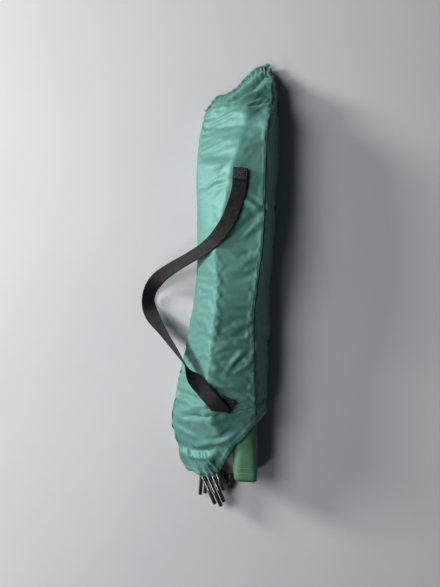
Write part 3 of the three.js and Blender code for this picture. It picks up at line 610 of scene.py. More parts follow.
def make_drape(grid):
    """How high cloth lies when it is drawn over the rolls and down to the sleeve's two edges."""
    half = COLUMNS // 2
    left = np.concatenate([grid[0, :half], grid[:, half]])[::-1]
    right = grid[::-1, 0]
    roll = roll_oval("flysheet_roll")
    pressed = roll_oval("inner_tent_roll")
    flank_y = np.linspace(pressed["from"], pressed["to"], 12)
    flank = np.stack([pressed["x"] - ROLL_LEAN * (flank_y - pressed["from"]) - pressed["rx"],
                      flank_y, np.full(12, pressed["z"])], axis=1)
    flank += np.array([-DRAPE_CLEARANCE, 0, 0])
    flank = np.concatenate([flank[:1] * (1, 1, 0.5) - (0, 90 * MM, 0), flank,
                            flank[-1:] * (1, 1, 0.5) + (0, 90 * MM, 0)])
    lines = [(left, EDGE_HEIGHT, 0.0), (right, EDGE_HEIGHT, 0.0), (SHOULDER, 1.0, 6 * MM),
             (CREST_LINE, 1.0, 10 * MM), (flank, 1.0, 0.0)]
    lines = [(evenly(line, 5 * MM), share, round_by) for line, share, round_by in lines]
    lines = [(line[np.argsort(line[:, 1])], share, round_by) for line, share, round_by in lines]
    slopes = np.tan(np.radians(np.linspace(-80, 80, 81)))

    def height(x, y):
        best = np.full(x.shape, np.inf)
        edges = []
        for line, share, round_by in lines:
            at = np.interp(y, line[:, 1], line[:, 0])
            edges.append((at, np.interp(y, line[:, 1], line[:, 2]) * share, round_by))
        middle = roll["x"] - ROLL_LEAN * (y - roll["from"])
        past = np.maximum(0, np.maximum(y - roll["to"], roll["from"] - y))
        fall = ROLL_END_FALL * past ** 2 / (past + ROLL_END_EASE)
        for slope in slopes:
            tilt = math.hypot(1, slope) - 1
            reach = np.max([z - slope * at + round_by * tilt for at, z, round_by in edges], axis=0)
            oval = math.hypot(roll["rz"] + DRAPE_CLEARANCE, slope * (roll["rx"] + DRAPE_CLEARANCE))
            reach = np.maximum(reach, roll["z"] + oval - slope * middle - fall)
            best = np.minimum(best, reach + slope * x)
        return best

    return height


def clear_of_rolls(grid):
    """Moves points of the cloth out of the rolls' ovals."""
    for roll in (roll_oval("flysheet_roll"), roll_oval("inner_tent_roll")):
        middle = roll["x"] - ROLL_LEAN * (grid[..., 1] - roll["from"])
        above = (grid[..., 2] - roll["z"]) / (roll["rz"] + CONTENTS_CLEARANCE)
        middle = middle + crest_shift(roll, grid[..., 1], above)
        beside = (grid[..., 0] - middle) / (roll["rx"] + CONTENTS_CLEARANCE)
        power = np.where((beside < 0) & (above > 0), roll["round"], 2.0)
        inside = (np.abs(beside) ** power + np.abs(above) ** power) ** (1 / power)
        past = np.maximum(0, np.maximum(grid[..., 1] - roll["to"], roll["from"] - grid[..., 1]))
        push = np.where(inside < 1, 1 / np.maximum(inside, 0.2), 1.0)
        push = 1 + (push - 1) * smoothstep(22 * MM, 0, past)
        grid[..., 0] = middle + (grid[..., 0] - middle) * push
        grid[..., 2] = roll["z"] + (grid[..., 2] - roll["z"]) * push
    return grid


def spread(values, reach, take):
    """Takes the largest or mean of each grid value's neighbours, up to reach columns and rows away."""
    for axis in (0, 1):
        values = take([np.roll(values, k, axis=axis) for k in range(-reach, reach + 1)], axis=0)
    return values


POLE_CLEARANCE = 1.3 * MM


def clear_of_poles(grid):
    """Lifts the cloth's upper layer off the poles and their ties."""
    kinds = ("leg_pole", "ridge_pole", "pole_tie")
    trees = [tree_of(obj) for name, obj in NODES.items() if name.startswith(kinds)]
    short = np.zeros(grid.shape[:2])
    for c in range(1, COLUMNS // 2):
        for r in np.flatnonzero(grid[:, c, 2] < 50 * MM):
            x, y, z = grid[r, c]
            for tree in trees:
                hit = tree.ray_cast(Vector((x, y, 0.3)), Vector((0, 0, -1)))
                if hit[0] is not None:
                    short[r, c] = max(short[r, c], hit[0].z + POLE_CLEARANCE - z)
    short = spread(spread(short, 1, np.max), 1, np.mean)
    grid[..., 2] += short
    return grid


LOBE_Y = -295 * MM
LOBE_LENGTH = 14 * MM
LOBE_SWELL = 8.5 * MM


def fill_lobe(grid):
    """The slack cloth beside the poles swells out to the left, just inside the mouth."""
    near = np.exp(-(((grid[..., 1] - LOBE_Y) / LOBE_LENGTH) ** 2))
    grid[..., 0] -= LOBE_SWELL * near * smoothstep(-30 * MM, -60 * MM, grid[..., 0])
    return grid


TUCK_COLUMNS = 12  # this many columns of the lower layer, next to the left edge
TUCK_STEP = 0.5 * MM  # lie at least this much further in, each than the one before


def tuck_under(grid):
    """Keeps the lower layer in from the left edge, so that from above only the upper layer shows."""
    edge = grid[:, COLUMNS // 2, 0]
    for k in range(1, TUCK_COLUMNS + 1):
        column = COLUMNS // 2 + k
        grid[:, column, 0] = np.maximum(grid[:, column, 0], edge + k * TUCK_STEP)
    return grid


RIM_ROWS = 14  # rows next to the mouth that are rounded
RIM_PASSES = 5


def round_rim(grid):
    """Rounds the corners of the mouth's outline."""
    rows = len(grid)
    weight = 0.5 * smoothstep(rows - RIM_ROWS, rows - 1, np.arange(rows))[:, None, None]
    for _ in range(RIM_PASSES):
        around = (np.roll(grid, 2, axis=1) + np.roll(grid, -2, axis=1)) / 2
        grid = grid + weight * (around - grid)
    return grid


def soft_noise(shape, cells, seed):
    """Smooth random values between -1 and 1 on a grid that wraps around."""
    draw = np.random.default_rng(seed).uniform(-1, 1, cells)
    rows = spline(draw, np.linspace(0, cells[0] - 1, shape[0]))
    return spline(rows.T, np.arange(shape[1]) * cells[1] / shape[1], closed=True).T


def distance_to_line(xy, line):
    """Distance in plan from each point to a polyline, and how far along it the nearest point is."""
    best = np.full(xy.shape[:-1], np.inf)
    along = np.zeros(xy.shape[:-1])
    line = np.asarray(line, float)
    segments = len(line) - 1
    for i in range(segments):
        a, b = line[i], line[i + 1]
        t = np.clip(((xy - a) @ (b - a)) / ((b - a) @ (b - a)), 0, 1)
        gap = np.linalg.norm(xy - (a + t[..., None] * (b - a)), axis=-1)
        closer = gap < best
        best = np.where(closer, gap, best)
        along = np.where(closer, (i + t) / segments, along)
    return best, along


# Folds of the cloth, in plan and in millimetres: the line that each runs along, its width, and how
# far the cloth stands out of (or, when negative, dips into) the sleeve along it.
FOLDS = [
    ([(42, 383), (24, 361), (4, 342), (-16, 327)], 5.5, -8),
    ([(-30, 318), (-6, 344), (14, 364), (30, 384)], 5, 3.5),
    ([(46, 364), (28, 347), (8, 331), (-8, 318)], 5.5, 4.5),
    ([(44, 374), (48, 345), (46, 312), (44, 286)], 13, 9),
    ([(26, 320), (38, 326)], 4, -2.0),
    ([(22, 310), (40, 318)], 4, 1.6),
    ([(-52, 322), (-36, 318), (-18, 322)], 5, -2.5),
    ([(-56, 306), (-38, 303), (-22, 312)], 6, 2),
    ([(-18, 182), (-30, 178), (-39, 167), (-44, 152)], 4.5, -2.8),
    ([(-20, 188), (-34, 185), (-46, 172)], 5, 2.2),
    ([(50, 139), (33, 146), (13, 156)], 4.5, 2.6),
    ([(49, 143), (33, 152), (20, 160)], 4, -2.2),
    ([(50, 139), (29, 136), (14, 140)], 4, -2.6),
    ([(50, 136), (30, 124), (11, 105), (-3, 92)], 6.5, -3.4),
    ([(50, 132), (32, 114), (16, 92)], 6, 2.4),
    ([(50, 139), (58, 149), (66, 160)], 4, 2.4),
    ([(50, 138), (60, 133), (68, 126)], 4, -2),
    ([(15, 251), (39, 259)], 5, -1.8),
    ([(16, 260), (40, 268)], 6, 1.4),
    ([(24, 304), (42, 310)], 4.5, -1.6),
    ([(11, 14), (29, 31), (42, 45)], 8, -2.8),
    ([(14, 60), (33, 78)], 7, -2.2),
    ([(6, 36), (28, 58), (42, 68)], 7, 1.8),
    ([(3, -134), (14, -113), (26, -92)], 3.6, 3.0),
    ([(12, -123), (29, -107), (44, -85)], 4.2, -3.4),
    ([(14, -134), (33, -118), (46, -102)], 5, 1.8),
    ([(5, -83), (21, -65), (39, -52)], 5.5, -2.6),
    ([(2, -72), (18, -52), (36, -40)], 6, 1.8),
    ([(43, -93), (52, -81), (61, -72)], 4, 1.8),
    ([(43, -118), (54, -126), (66, -118)], 4, -2.0),
    ([(-16, -153), (6, -160), (29, -164), (50, -165)], 4, -4.2),
    ([(-12, -145), (8, -151), (30, -153)], 4.5, 3.0),
    ([(-76, -171), (-52, -174), (-32, -181)], 4.5, -4.8),
    ([(-78, -182), (-54, -186), (-36, -194)], 5, 4.2),
    ([(-72, -211), (-47, -197), (-26, -186)], 5, 4.6),
    ([(-76, -206), (-50, -212), (-28, -208), (-6, -202)], 4.5, -5.0),
    ([(-70, -266), (-55, -273), (-40, -277), (-24, -273), (-10, -265), (4, -260), (26, -254)], 5.5, -7.0),
    ([(-29, -262), (-17, -256), (-4, -252), (16, -245), (26, -234)], 5, 4.8),
    ([(-20, -252), (-10, -250), (0, -245), (8, -237), (14, -229)], 4, -4.6),
    ([(-74, -281), (-60, -285), (-43, -287), (-21, -284), (0, -275), (14, -266)], 5, 3.4),
    ([(-37, -195), (-29, -216), (-14, -231)], 5, -3.8),
    ([(-74, -224), (-54, -237), (-30, -244)], 5, -4.0),
    ([(-12, -204), (2, -214), (22, -214)], 6, -2.4),
    ([(-47, -282), (-41, -295), (-35, -309)], 3.4, -5.0),
    ([(-31, -292), (-30, -306), (-29, -322)], 3.2, -4.5),
    ([(-28, -300), (-22, -308), (-16, -316)], 3.0, -3.5),
    ([(-3, -288), (-8, -301), (-15, -315)], 3.4, -4.5),
    ([(-3, -288), (-1, -306), (-1, -326)], 3.6, -5.5),
    ([(-61, -303), (-56, -312), (-50, -322)], 3.2, -4.0),
    ([(-49, -290), (-46, -302), (-44, -314)], 3.2, 3.0),
    ([(-4, -304), (-10, -313), (-18, -324)], 3.2, 3.2),
    ([(4, -292), (6, -308), (2, -325)], 3.4, 3.0),
    ([(-60, -30), (-40, -8), (-30, 20)], 9, -1.8),
    ([(-58, 20), (-44, 40), (-30, 80)], 9, 1.6),
    ([(-56, -60), (-30, -80), (-10, -112)], 9, -2.2),
    ([(-46, -74), (-18, -100), (-2, -128)], 8, 2.0),
    ([(-58, 230), (-30, 236), (-6, 226)], 8, -1.6),
    ([(-50, 262), (-20, 258), (8, 270)], 8, 1.5),
]


def add_folds(grid, normals):
    """Raises or sinks the upper cloth along each of FOLDS, with a faint dip on either side."""
    facing = smoothstep(0.1, 0.45, normals[..., 2])
    lift = np.zeros(grid.shape[:2])
    for line, width, height in FOLDS:
        gap, along = distance_to_line(grid[..., :2], np.array(line) * MM)
        fade = np.sin(np.pi * np.clip(0.06 + 0.88 * along, 0, 1)) ** 0.7
        close = np.exp(-((gap / (width * MM)) ** 2))
        shoulder = 0.25 * np.exp(-(((gap - 1.9 * width * MM) / (width * MM)) ** 2))
        lift += height * MM * fade * (close - shoulder)
    return grid + normals * (lift * facing)[..., None]


PLEAT_COUNT = 30
PLEAT_HEIGHT = 5.2 * MM


def tight_at(turn):
    """1 where the mouth is drawn tight around the poles, 0 around the roll; turn is 0 to 1 around it."""
    degrees = 360 * turn
    return smoothstep(92, 128, degrees) * (1 - smoothstep(262, 300, degrees))


def pleats(grid, normals):
    """The cloth gathers towards the drawcord: tight around the poles, slack around the roll."""
    rows, columns = grid.shape[:2]
    to_mouth = np.linalg.norm(np.diff(grid, axis=0), axis=2)[::-1].cumsum(axis=0)[::-1]
    to_mouth = np.concatenate([to_mouth, np.zeros((1, columns))])
    turn = np.arange(columns) / columns
    tight = tight_at(turn)
    wander = soft_noise((rows, columns), (12, 22), 5) * 0.32
    phase = turn * PLEAT_COUNT + wander + 0.25 * np.sin(turn * 2 * np.pi * 7)
    ridge = 1 - 2 * np.abs(np.sin(np.pi * phase)) ** 0.8
    long_ones = 0.65 + 0.35 * soft_noise((rows, columns), (3, 30), 9)
    reach = (34 + 18 * soft_noise((rows, columns), (2, 24), 3)) * MM
    size = np.exp(-((to_mouth / reach) ** 1.4)) * long_ones * (0.12 + 0.88 * tight)
    return grid + normals * (PLEAT_HEIGHT * ridge * size)[..., None]


SEAM_NODE = "side_seam_binding"


def seam_path(drape):
    """The middle of the CAD seam binding, from the closed end to the mouth, on the draped cloth."""
    corners = np.array(sorted({tuple(round(c, 6) for c in v.co) for v in NODES[SEAM_NODE].data.vertices},
                              key=lambda p: -p[1]))
    stations = corners[: len(corners) // 4 * 4].reshape(-1, 4, 3).mean(axis=1)
    height = drape(stations[:, 0], stations[:, 1])
    stations[:, 2] = smooth_min(stations[:, 2], height, DRAPE_SOFTNESS)
    return evenly(stations, 2.0 * MM)


def pull_in_seam(grid, normals, seam):
    """The side seam is a tight line: a groove, with the cloth puckering up to it."""
    tree = KDTree(len(seam))
    for i, p in enumerate(seam):
        tree.insert(p, i)
    tree.balance()
    flat = grid.reshape(-1, 3)
    gap = np.array([tree.find(p)[2] for p in flat]).reshape(grid.shape[:2])
    side = np.sign(grid[..., 0] - np.interp(grid[..., 1], seam[::-1, 1], seam[::-1, 0]))
    groove = -1.5 * np.exp(-((gap / (2.6 * MM)) ** 2))
    welt = 0.9 * np.exp(-(((gap - 5 * MM) / (3.2 * MM)) ** 2)) * (side < 0)
    wander = soft_noise(grid.shape[:2], (70, 6), 21)
    pucker = 0.75 * wander * np.exp(-gap / (11 * MM))
    return grid + normals * ((groove + welt + pucker) * MM)[..., None]


def lumps(grid, normals):
    """Broad unevenness where the contents press on the cloth, and where it hangs slack."""
    broad = soft_noise(grid.shape[:2], (13, 9), 2)
    slack = soft_noise(grid.shape[:2], (34, 18), 8)
    return grid + normals * ((1.5 * broad + 0.55 * slack) * MM)[..., None]


def end_gathers(grid, normals):
    """Little pleats fan out from the end seam, most of all at its sharp corner."""
    rows, columns = grid.shape[:2]
    reach = np.linalg.norm(grid - grid[:1], axis=2)
    across = (grid[..., 0] - grid[..., 0].min()) / np.ptp(grid[0, :, 0])
    corner = 0.45 + 0.9 * smoothstep(0.55, 0.95, across) + 0.35 * smoothstep(0.3, 0.1, across)
    phase = across * 15 + 0.5 * soft_noise((rows, columns), (9, 20), 31)
    size = np.exp(-((reach / (20 * MM)) ** 1.3)) * smoothstep(0, 3 * MM, reach)
    return grid + normals * (1.5 * MM * corner * size * np.sin(2 * np.pi * phase))[..., None]


SETTLE_INSET = 2.2  # how far inside the cloth its solid core stands, in millimetres
SETTLE_GAP = 0.6 * MM
SETTLE_OVERSIZE = 0.029
SETTLE_FRAMES = 26
SETTLE_LIMIT = 5 * MM  # no point of the cloth moves further than this


def settle(grid):
    """Lets the cloth buckle a little by simulation: it is cut slightly too large for its contents."""
    normals = grid_normals(grid)
    low_rows = np.linspace(0, len(grid) - 1, 120)
    low_columns = np.arange(0, COLUMNS, 2)
    start = spline(grid, low_rows)[:, low_columns]
    inner = start - spline(normals, low_rows)[:, low_columns] * SETTLE_INSET * MM
    rows, columns = start.shape[:2]
    faces = grid_faces(rows, columns, True)
    cloth = add_object("settling_cloth", start.reshape(-1, 3), faces, BAG_CLOTH)
    body = add_object("settling_body", inner.reshape(-1, 3), faces, BAG_CLOTH)
    modifier(body, "COLLISION")
    body.collision.thickness_outer = SETTLE_GAP
    body.collision.cloth_friction = 8
    ground = add_object("settling_ground", [(-1, -1, 0), (1, -1, 0), (1, 1, 0), (-1, 1, 0)],
                        [(0, 1, 2, 3)], BAG_CLOTH)
    modifier(ground, "COLLISION")
    ground.collision.thickness_outer = SETTLE_GAP
    held = cloth.vertex_groups.new(name="held")
    rim = np.arange(rows)
    hold = np.maximum(smoothstep(6, 0, rim), smoothstep(rows - 18, rows - 4, rim))
    for r in range(rows):
        if hold[r] > 0:
            held.add(list(range(r * columns, (r + 1) * columns)), float(hold[r]), "REPLACE")
    made = modifier(cloth, "CLOTH")
    made.settings.quality = 6
    made.settings.mass = 0.08
    made.settings.tension_stiffness = 18
    made.settings.compression_stiffness = 18
    made.settings.shear_stiffness = 8
    made.settings.bending_stiffness = 0.5
    made.settings.shrink_min = -SETTLE_OVERSIZE
    made.settings.vertex_group_mass = "held"
    made.settings.use_pressure = True
    made.settings.uniform_pressure_force = 0.6
    made.collision_settings.distance_min = SETTLE_GAP
    made.collision_settings.use_self_collision = False
    scene = bpy.context.scene
    for number in range(1, SETTLE_FRAMES + 1):
        scene.frame_set(number)
    baked(cloth)
    scene.frame_set(1)
    end = np.array([v.co[:] for v in cloth.data.vertices]).reshape(rows, columns, 3)
    move = end - start
    size = np.linalg.norm(move, axis=2, keepdims=True)
    limit = SETTLE_LIMIT * (1 - hold)[:, None, None]
    move *= np.minimum(1, limit / np.maximum(size, 1e-9))
    for used in (cloth, body, ground):
        bpy.data.objects.remove(used)
    move = spline(move, np.linspace(0, rows - 1, len(grid)))
    return grid + spline(move.swapaxes(0, 1), np.arange(COLUMNS) / 2, closed=True).swapaxes(0, 1)


# The hem: the cloth runs on past the sleeve, folds inward, and is sewn down around the drawcord.
# Each pair is how far out it has run and how far it stands off the cloth's own line, in millimetres.
HEM_PROFILE = [
    (1.2, 0.1), (2.4, 0.5), (3.8, 0.9), (5.4, 1.1), (7.2, 0.9), (8.8, 0.3), (9.8, 0.1), (10.8, 0.3),
    (11.8, 0.2), (12.2, -0.3), (11.6, -0.8), (10.0, -0.9), (8.6, -1.6), (7.0, -2.2), (5.0, -2.2),
    (3.2, -1.7), (1.6, -1.1), (0.4, -0.8),
]
CORD_AT = 4  # the profile's point above the drawcord
STITCH_AT = 0


def add_hem(grid):
    """Carries the cloth on past the mouth by HEM_PROFILE, ruffled where the drawcord is tight."""
    heading = unit(grid[-1] - grid[-4])
    heading = unit(heading + 0.5 * (np.roll(heading, 2, axis=0) + np.roll(heading, -2, axis=0)))
    outward = grid_normals(grid)[-1]
    rows = [grid[-1] + heading * out * MM + outward * off * MM for out, off in HEM_PROFILE]
    turn = np.arange(COLUMNS) / COLUMNS
    ruffle = np.sin(2 * np.pi * (turn * 23 + 0.3 * np.sin(turn * 2 * np.pi * 9)))
    tight = tight_at(turn)
    for (out, _), row in zip(HEM_PROFILE, rows):
        flare = smoothstep(6, 12, out) * (0.25 + 0.75 * tight)
        row += outward * (ruffle * flare * 1.8 * MM)[:, None]
    hem = np.array(rows)
    hem[..., 2] = np.maximum(hem[..., 2], 0.0006)
    return np.concatenate([grid, hem])


def make_bag():
    """The bag's cloth, from the CAD sleeve to the draped, folded and hemmed sheet."""
    grid = fill_lobe(fine_sleeve())
    drape = make_drape(grid)
    seam = seam_path(drape)
    grid[:, COLUMNS // 2:, 2] *= EDGE_HEIGHT
    grid[..., 2] = smooth_min(grid[..., 2], drape(grid[..., 0], grid[..., 1]), DRAPE_SOFTNESS)
    normals = grid_normals(grid)
    grid = lumps(grid, normals)
    grid = add_folds(grid, normals)
    grid = end_gathers(grid, normals)
    grid = pull_in_seam(grid, normals, seam)
    grid = settle(grid)
    grid = tuck_under(round_rim(clear_of_rolls(grid)))
    grid = clear_of_poles(pleats(grid, grid_normals(grid)))
    grid[..., 2] = np.maximum(grid[..., 2], 0.0005)
    whole = add_hem(grid)
    rows = len(whole)
    run = np.concatenate([[0], np.linalg.norm(np.diff(whole, axis=0), axis=2).mean(axis=1).cumsum()])
    girth = np.linalg.norm(grid[60] - np.roll(grid[60], 1, axis=0), axis=1).sum()
    uvs = [(c / COLUMNS * girth, run[r]) for r in range(rows) for c in range(COLUMNS)]
    bag = add_object("bag_cloth", whole.reshape(-1, 3), grid_faces(rows, COLUMNS, True), BAG_CLOTH, uvs)
    modifier(bag, "SOLIDIFY", thickness=CLOTH_THICK, offset=-1.0)
    baked(bag)
    bag.data.shade_smooth()
    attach(bag, "carry_bag")
    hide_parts("bag_shell", "mouth_hem")
    return bag, grid, whole, seam


BAG, SLEEVE, WHOLE, SEAM = make_bag()
BAG_TREE = tree_of(BAG)


def top_of(x, y, default=0.0):
    """Height of the bag's upper side at a point in plan."""
    hit = BAG_TREE.ray_cast(Vector((x, y, 0.3)), Vector((0, 0, -1)))
    return hit[0].z if hit[0] is not None else default


# ------------------------------------------------------------------------- stitches and seams
def stitches(name, lines, material, length, radius):
    """Short threads that follow lines of (point, normal) pairs, each line as one row of stitches."""
    vertices, faces = [], []
    ring = circle(radius, 6, 0.8)
    steps = 4
    for points, normals in lines:
        run = np.concatenate([[0], np.linalg.norm(np.diff(points, axis=0), axis=1).cumsum()])
        pitch = length * 1.5
        for k in range(int(run[-1] / pitch)):
            where = k * pitch + np.linspace(0, length, steps + 1)
            line = np.stack([np.interp(where, run, points[:, a]) for a in range(3)], axis=1)
            up = unit(np.stack([np.interp(where, run, normals[:, a]) for a in range(3)], axis=1))
            arch = np.sin(np.linspace(0, np.pi, steps + 1))
            line = line + up * (radius * (1.1 * arch - 0.2))[:, None]
            side = unit(np.cross(line[-1] - line[0], up[2]))
            size = 0.45 + 0.55 * arch
            first = len(vertices)
            for i in range(steps + 1):
                vertices += [line[i] + size[i] * (s * side + u * up[i]) for s, u in ring]
            faces += [tuple(first + i for i in face) for face in grid_faces(steps + 1, 6, True)]
            faces.append(tuple(first + i for i in range(6))[::-1])
            faces.append(tuple(first + steps * 6 + i for i in range(6)))
    return add_object(name, vertices, faces, material)


BAG_MIDDLE_HEIGHT = 0.055


def on_cloth(points, lift=0.0):
    """The nearest points of the bag's cloth, raised by lift, and the cloth's normals there."""
    placed, normals = [], []
    for p in points:
        where, normal, _, _ = BAG_TREE.find_nearest(Vector(p))
        outward = Vector((where.x, 0.0, where.z - BAG_MIDDLE_HEIGHT))
        if normal.dot(outward) < 0:
            normal = -normal
        placed.append(np.array(where) + lift * np.array(normal))
        normals.append(np.array(normal))
    return np.array(placed), unit(np.array(normals))


def make_side_seam():
    line, normals = on_cloth(SEAM, 0.7 * MM)
    smooth = line.copy()
    smooth[1:-1] = (line[:-2] + line[1:-1] * 2 + line[2:]) / 4
    section = circle(1.5 * MM, 10, 0.62)
    piping = sweep("side_seam_piping", smooth, section, SEAM_CLOTH, face=normals)
    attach(piping, "carry_bag")
    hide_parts(SEAM_NODE)
    _, side, _ = frames_along(smooth, normals)
    left = side * np.where(side[:, :1] > 0, -1.0, 1.0)
    rows = [on_cloth(smooth + left * offset * MM, 0.15 * MM) for offset in (3.6, 5.6)]
    sewn = stitches("side_seam_stitches", rows, GREEN_THREAD, 2.6 * MM, 0.32 * MM)
    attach(sewn, "carry_bag")


def make_end_seam():
    """Both layers sewn together at the closed end: a narrow, wavy lip."""
    half = COLUMNS // 2
    line = evenly(SLEEVE[0, :half + 1], 1.6 * MM)
    count = len(line)
    out = frames_along(line)[1]
    out = out * np.where(out[:, 1:2] < 0, -1.0, 1.0)
    out[:, 2] = 0
    out = unit(out)
    wave = np.array([0.8 * math.sin(i * 0.9) + 0.6 * math.sin(i * 0.37 + 1) for i in range(count)])
    profile = [(-1.5, 1.0), (0, 1.15), (2.2, 0.75), (4.4, 0.95), (5.0, 0.0), (4.4, -0.95),
               (2.2, -0.75), (0, -1.15), (-1.5, -1.0)]
    rows = []
    for reach, lift in profile:
        waving = smoothstep(0, 5, np.array(reach)) * wave
        row = line + out * reach * MM
        row[:, 2] += (lift + waving) * MM
        rows.append(row)
    grid = np.array(rows)
    uvs = [(i * 0.0016, reach * MM) for reach, _ in profile for i in range(count)]
    lip = add_object("end_seam_edge", grid.reshape(-1, 3), grid_faces(len(rows), count, False),
                     BAG_CLOTH, uvs)
    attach(lip, "carry_bag")
    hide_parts("end_seam_lip")


def make_hem_details():
    first = len(SLEEVE)
    normals = grid_normals(WHOLE)
    ring = np.concatenate([WHOLE[first + STITCH_AT], WHOLE[first + STITCH_AT][:1]])
    up = np.concatenate([normals[first + STITCH_AT], normals[first + STITCH_AT][:1]])
    sewn = stitches("hem_stitches", [(ring + up * 0.2 * MM, up)], GREEN_THREAD, 2.4 * MM, 0.3 * MM)
    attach(sewn, "carry_bag")
    outer, inner = WHOLE[first + CORD_AT], WHOLE[first + len(HEM_PROFILE) - 5]
    cord_line = evenly((outer + inner) / 2, 2.2 * MM, closed=True)
    cord_line = np.concatenate([cord_line, cord_line[:1]])
    cord = sweep("hem_drawcord", cord_line, circle(CORD_RADIUS, 10), BLACK_CORD, capped=False)
    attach(cord, "carry_bag")
    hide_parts("drawcord_in_hem")


make_side_seam()
make_end_seam()
make_hem_details()

# ------------------------------------------------------------------------- the shoulder strap
STRAP_WIDTH = 25 * MM
STRAP_THICK = 1.7 * MM
FOLD_LINE_Y = -194.5 * MM
# The strap's middle line in millimetres, and the way its face looks; a height of None lies on the bag.
STRAP_ROUTE = [
    ((6, 190, None), (0, 0, 1)),
    ((6, 176, None), (0, 0, 1)),
    ((2, 154, None), (0, 0, 1)),
    ((-8, 122, None), (-0.15, 0, 1)),
    ((-24, 94, None), (-0.35, 0.1, 0.93)),
    ((-43, 74, 96), (-0.5, 0.2, 0.84)),
    ((-70, 56, 70), (-0.35, 0.4, 0.85)),
    ((-100, 37, 42), (-0.15, 0.35, 0.92)),
    ((-123, 19, 24), (0.1, 0.25, 0.96)),
    ((-137, -2, 13), (0.42, 0.1, 0.9)),
    ((-140, -24, 10.5), (0.48, -0.05, 0.87)),
    ((-132, -46, 13), (0.0, -0.1, 1.0)),
    ((-115, -67, 24), (-0.45, -0.4, 0.8)),
    ((-96, -88, 46), (-0.6, -0.5, 0.62)),
    ((-77, -108, 74), (-0.65, -0.6, 0.45)),
    ((-61, -126, 97), (-0.78, -0.62, 0.02)),
    ((-47, -144, 107), (-0.3, -0.3, -0.9)),
    ((-32, -160, None), (0.12, 0, -1)),
    ((-15, -177, None), (0.05, 0, -1)),
    ((-1, -191, None), (0, 0, -1)),
    ((6, -198, None), (0, 0, -1)),
]


def running_max(values, reach):
    padded = np.pad(values, reach, mode="edge")
    return np.array([padded[i:i + 2 * reach + 1].max() for i in range(len(values))])


def running_mean(values, reach):
    padded = np.pad(values, reach, mode="edge")
    return np.array([padded[i:i + 2 * reach + 1].mean() for i in range(len(values))])


def strap_line():
    """The strap's middle line and the way its face looks, kept clear of the cloth below."""
    places = []
    for (x, y, z), _ in STRAP_ROUTE:
        height = top_of(x * MM, y * MM) + 1.8 * MM if z is None else z * MM
        places.append((x * MM, y * MM, height))
    faces = unit(np.array([face for _, face in STRAP_ROUTE], float))
    where = np.linspace(0, len(places) - 1, 201)
    line = spline(np.array(places), where)
    face = unit(spline(faces, where))
    _, side, _ = frames_along(line, face)
    short = np.zeros(len(line))
    for reach in np.linspace(-0.5, 0.5, 7) * STRAP_WIDTH:
        for i, p in enumerate(line + side * reach):
            if p[0] > -66 * MM:
                short[i] = max(short[i], top_of(p[0], p[1]) + 1.3 * MM - p[2])
    tail = smoothstep(-0.150, -0.180, line[:, 1]) * 2.2 * MM  # over its own folded tail
    line[:, 2] += running_mean(running_max(short, 4), 4) + tail
    return line, face


def make_strap():
    line, face = strap_line()
    section = rounded_flat(STRAP_WIDTH, STRAP_THICK)
    strap = sweep("shoulder_strap", line, section, STRAP_WEBBING, face=face)
    heading = unit(line[-1] - line[-12])
    for vertex in strap.data.vertices:  # the strap folds under along a line across the bag
        past = FOLD_LINE_Y - vertex.co.y
        if past > 0:
            vertex.co += Vector(heading) * (past / heading[1])
    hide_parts("carry_strap")
    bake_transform(strap)
    return line


def laid_webbing(name, line, lift, thick):
    """A flat length of webbing that follows the cloth below it."""
    line = evenly(line, 1.5 * MM)
    _, side, _ = frames_along(line)
    for i, p in enumerate(line):
        under = [top_of(*(p + side[i] * k * STRAP_WIDTH)[:2]) for k in (-0.45, -0.2, 0, 0.2, 0.45)]
        line[i, 2] = max(under) * 0.5 + sum(under) / 10 + lift
    line[:, 2] = running_mean(line[:, 2], 3)
    return line, sweep(name, line, rounded_flat(STRAP_WIDTH, thick), STRAP_WEBBING)


def box_and_cross(centre, along, width, length):
    """Corners of a stitched box with its diagonals, as open lines in plan."""
    along = unit(np.array(along, float))
    side = np.array([along[1], -along[0]])
    corner = {(i, j): np.array(centre) + i * side * width / 2 + j * along * length / 2
              for i in (-1, 1) for j in (-1, 1)}
    a, b, c, d = corner[-1, -1], corner[1, -1], corner[1, 1], corner[-1, 1]
    return [(a, b), (b, c), (c, d), (d, a), (a, c), (b, d)]


def sew_down(name, lines, obj, radius):
    """Rows of stitches over a piece of webbing that lies on the bag."""
    tree = tree_of(obj)
    rows = []
    for start, end in lines:
        steps = max(3, int(np.linalg.norm(end - start) / (1.2 * MM)))
        points, ups = [], []
        for t in np.linspace(0, 1, steps):
            x, y = start + (end - start) * t
            hit = tree.ray_cast(Vector((x, y, 0.3)), Vector((0, 0, -1)))
            if hit[0] is not None:
                points.append(np.array(hit[0]) + (0, 0, 0.1 * MM))
                ups.append((0.0, 0.0, 1.0))
        if len(points) > 2:
            rows.append((np.array(points), np.array(ups)))
    sewn = stitches(name, rows, BLACK_THREAD, 2.0 * MM, radius)
    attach(sewn, "carry_bag")


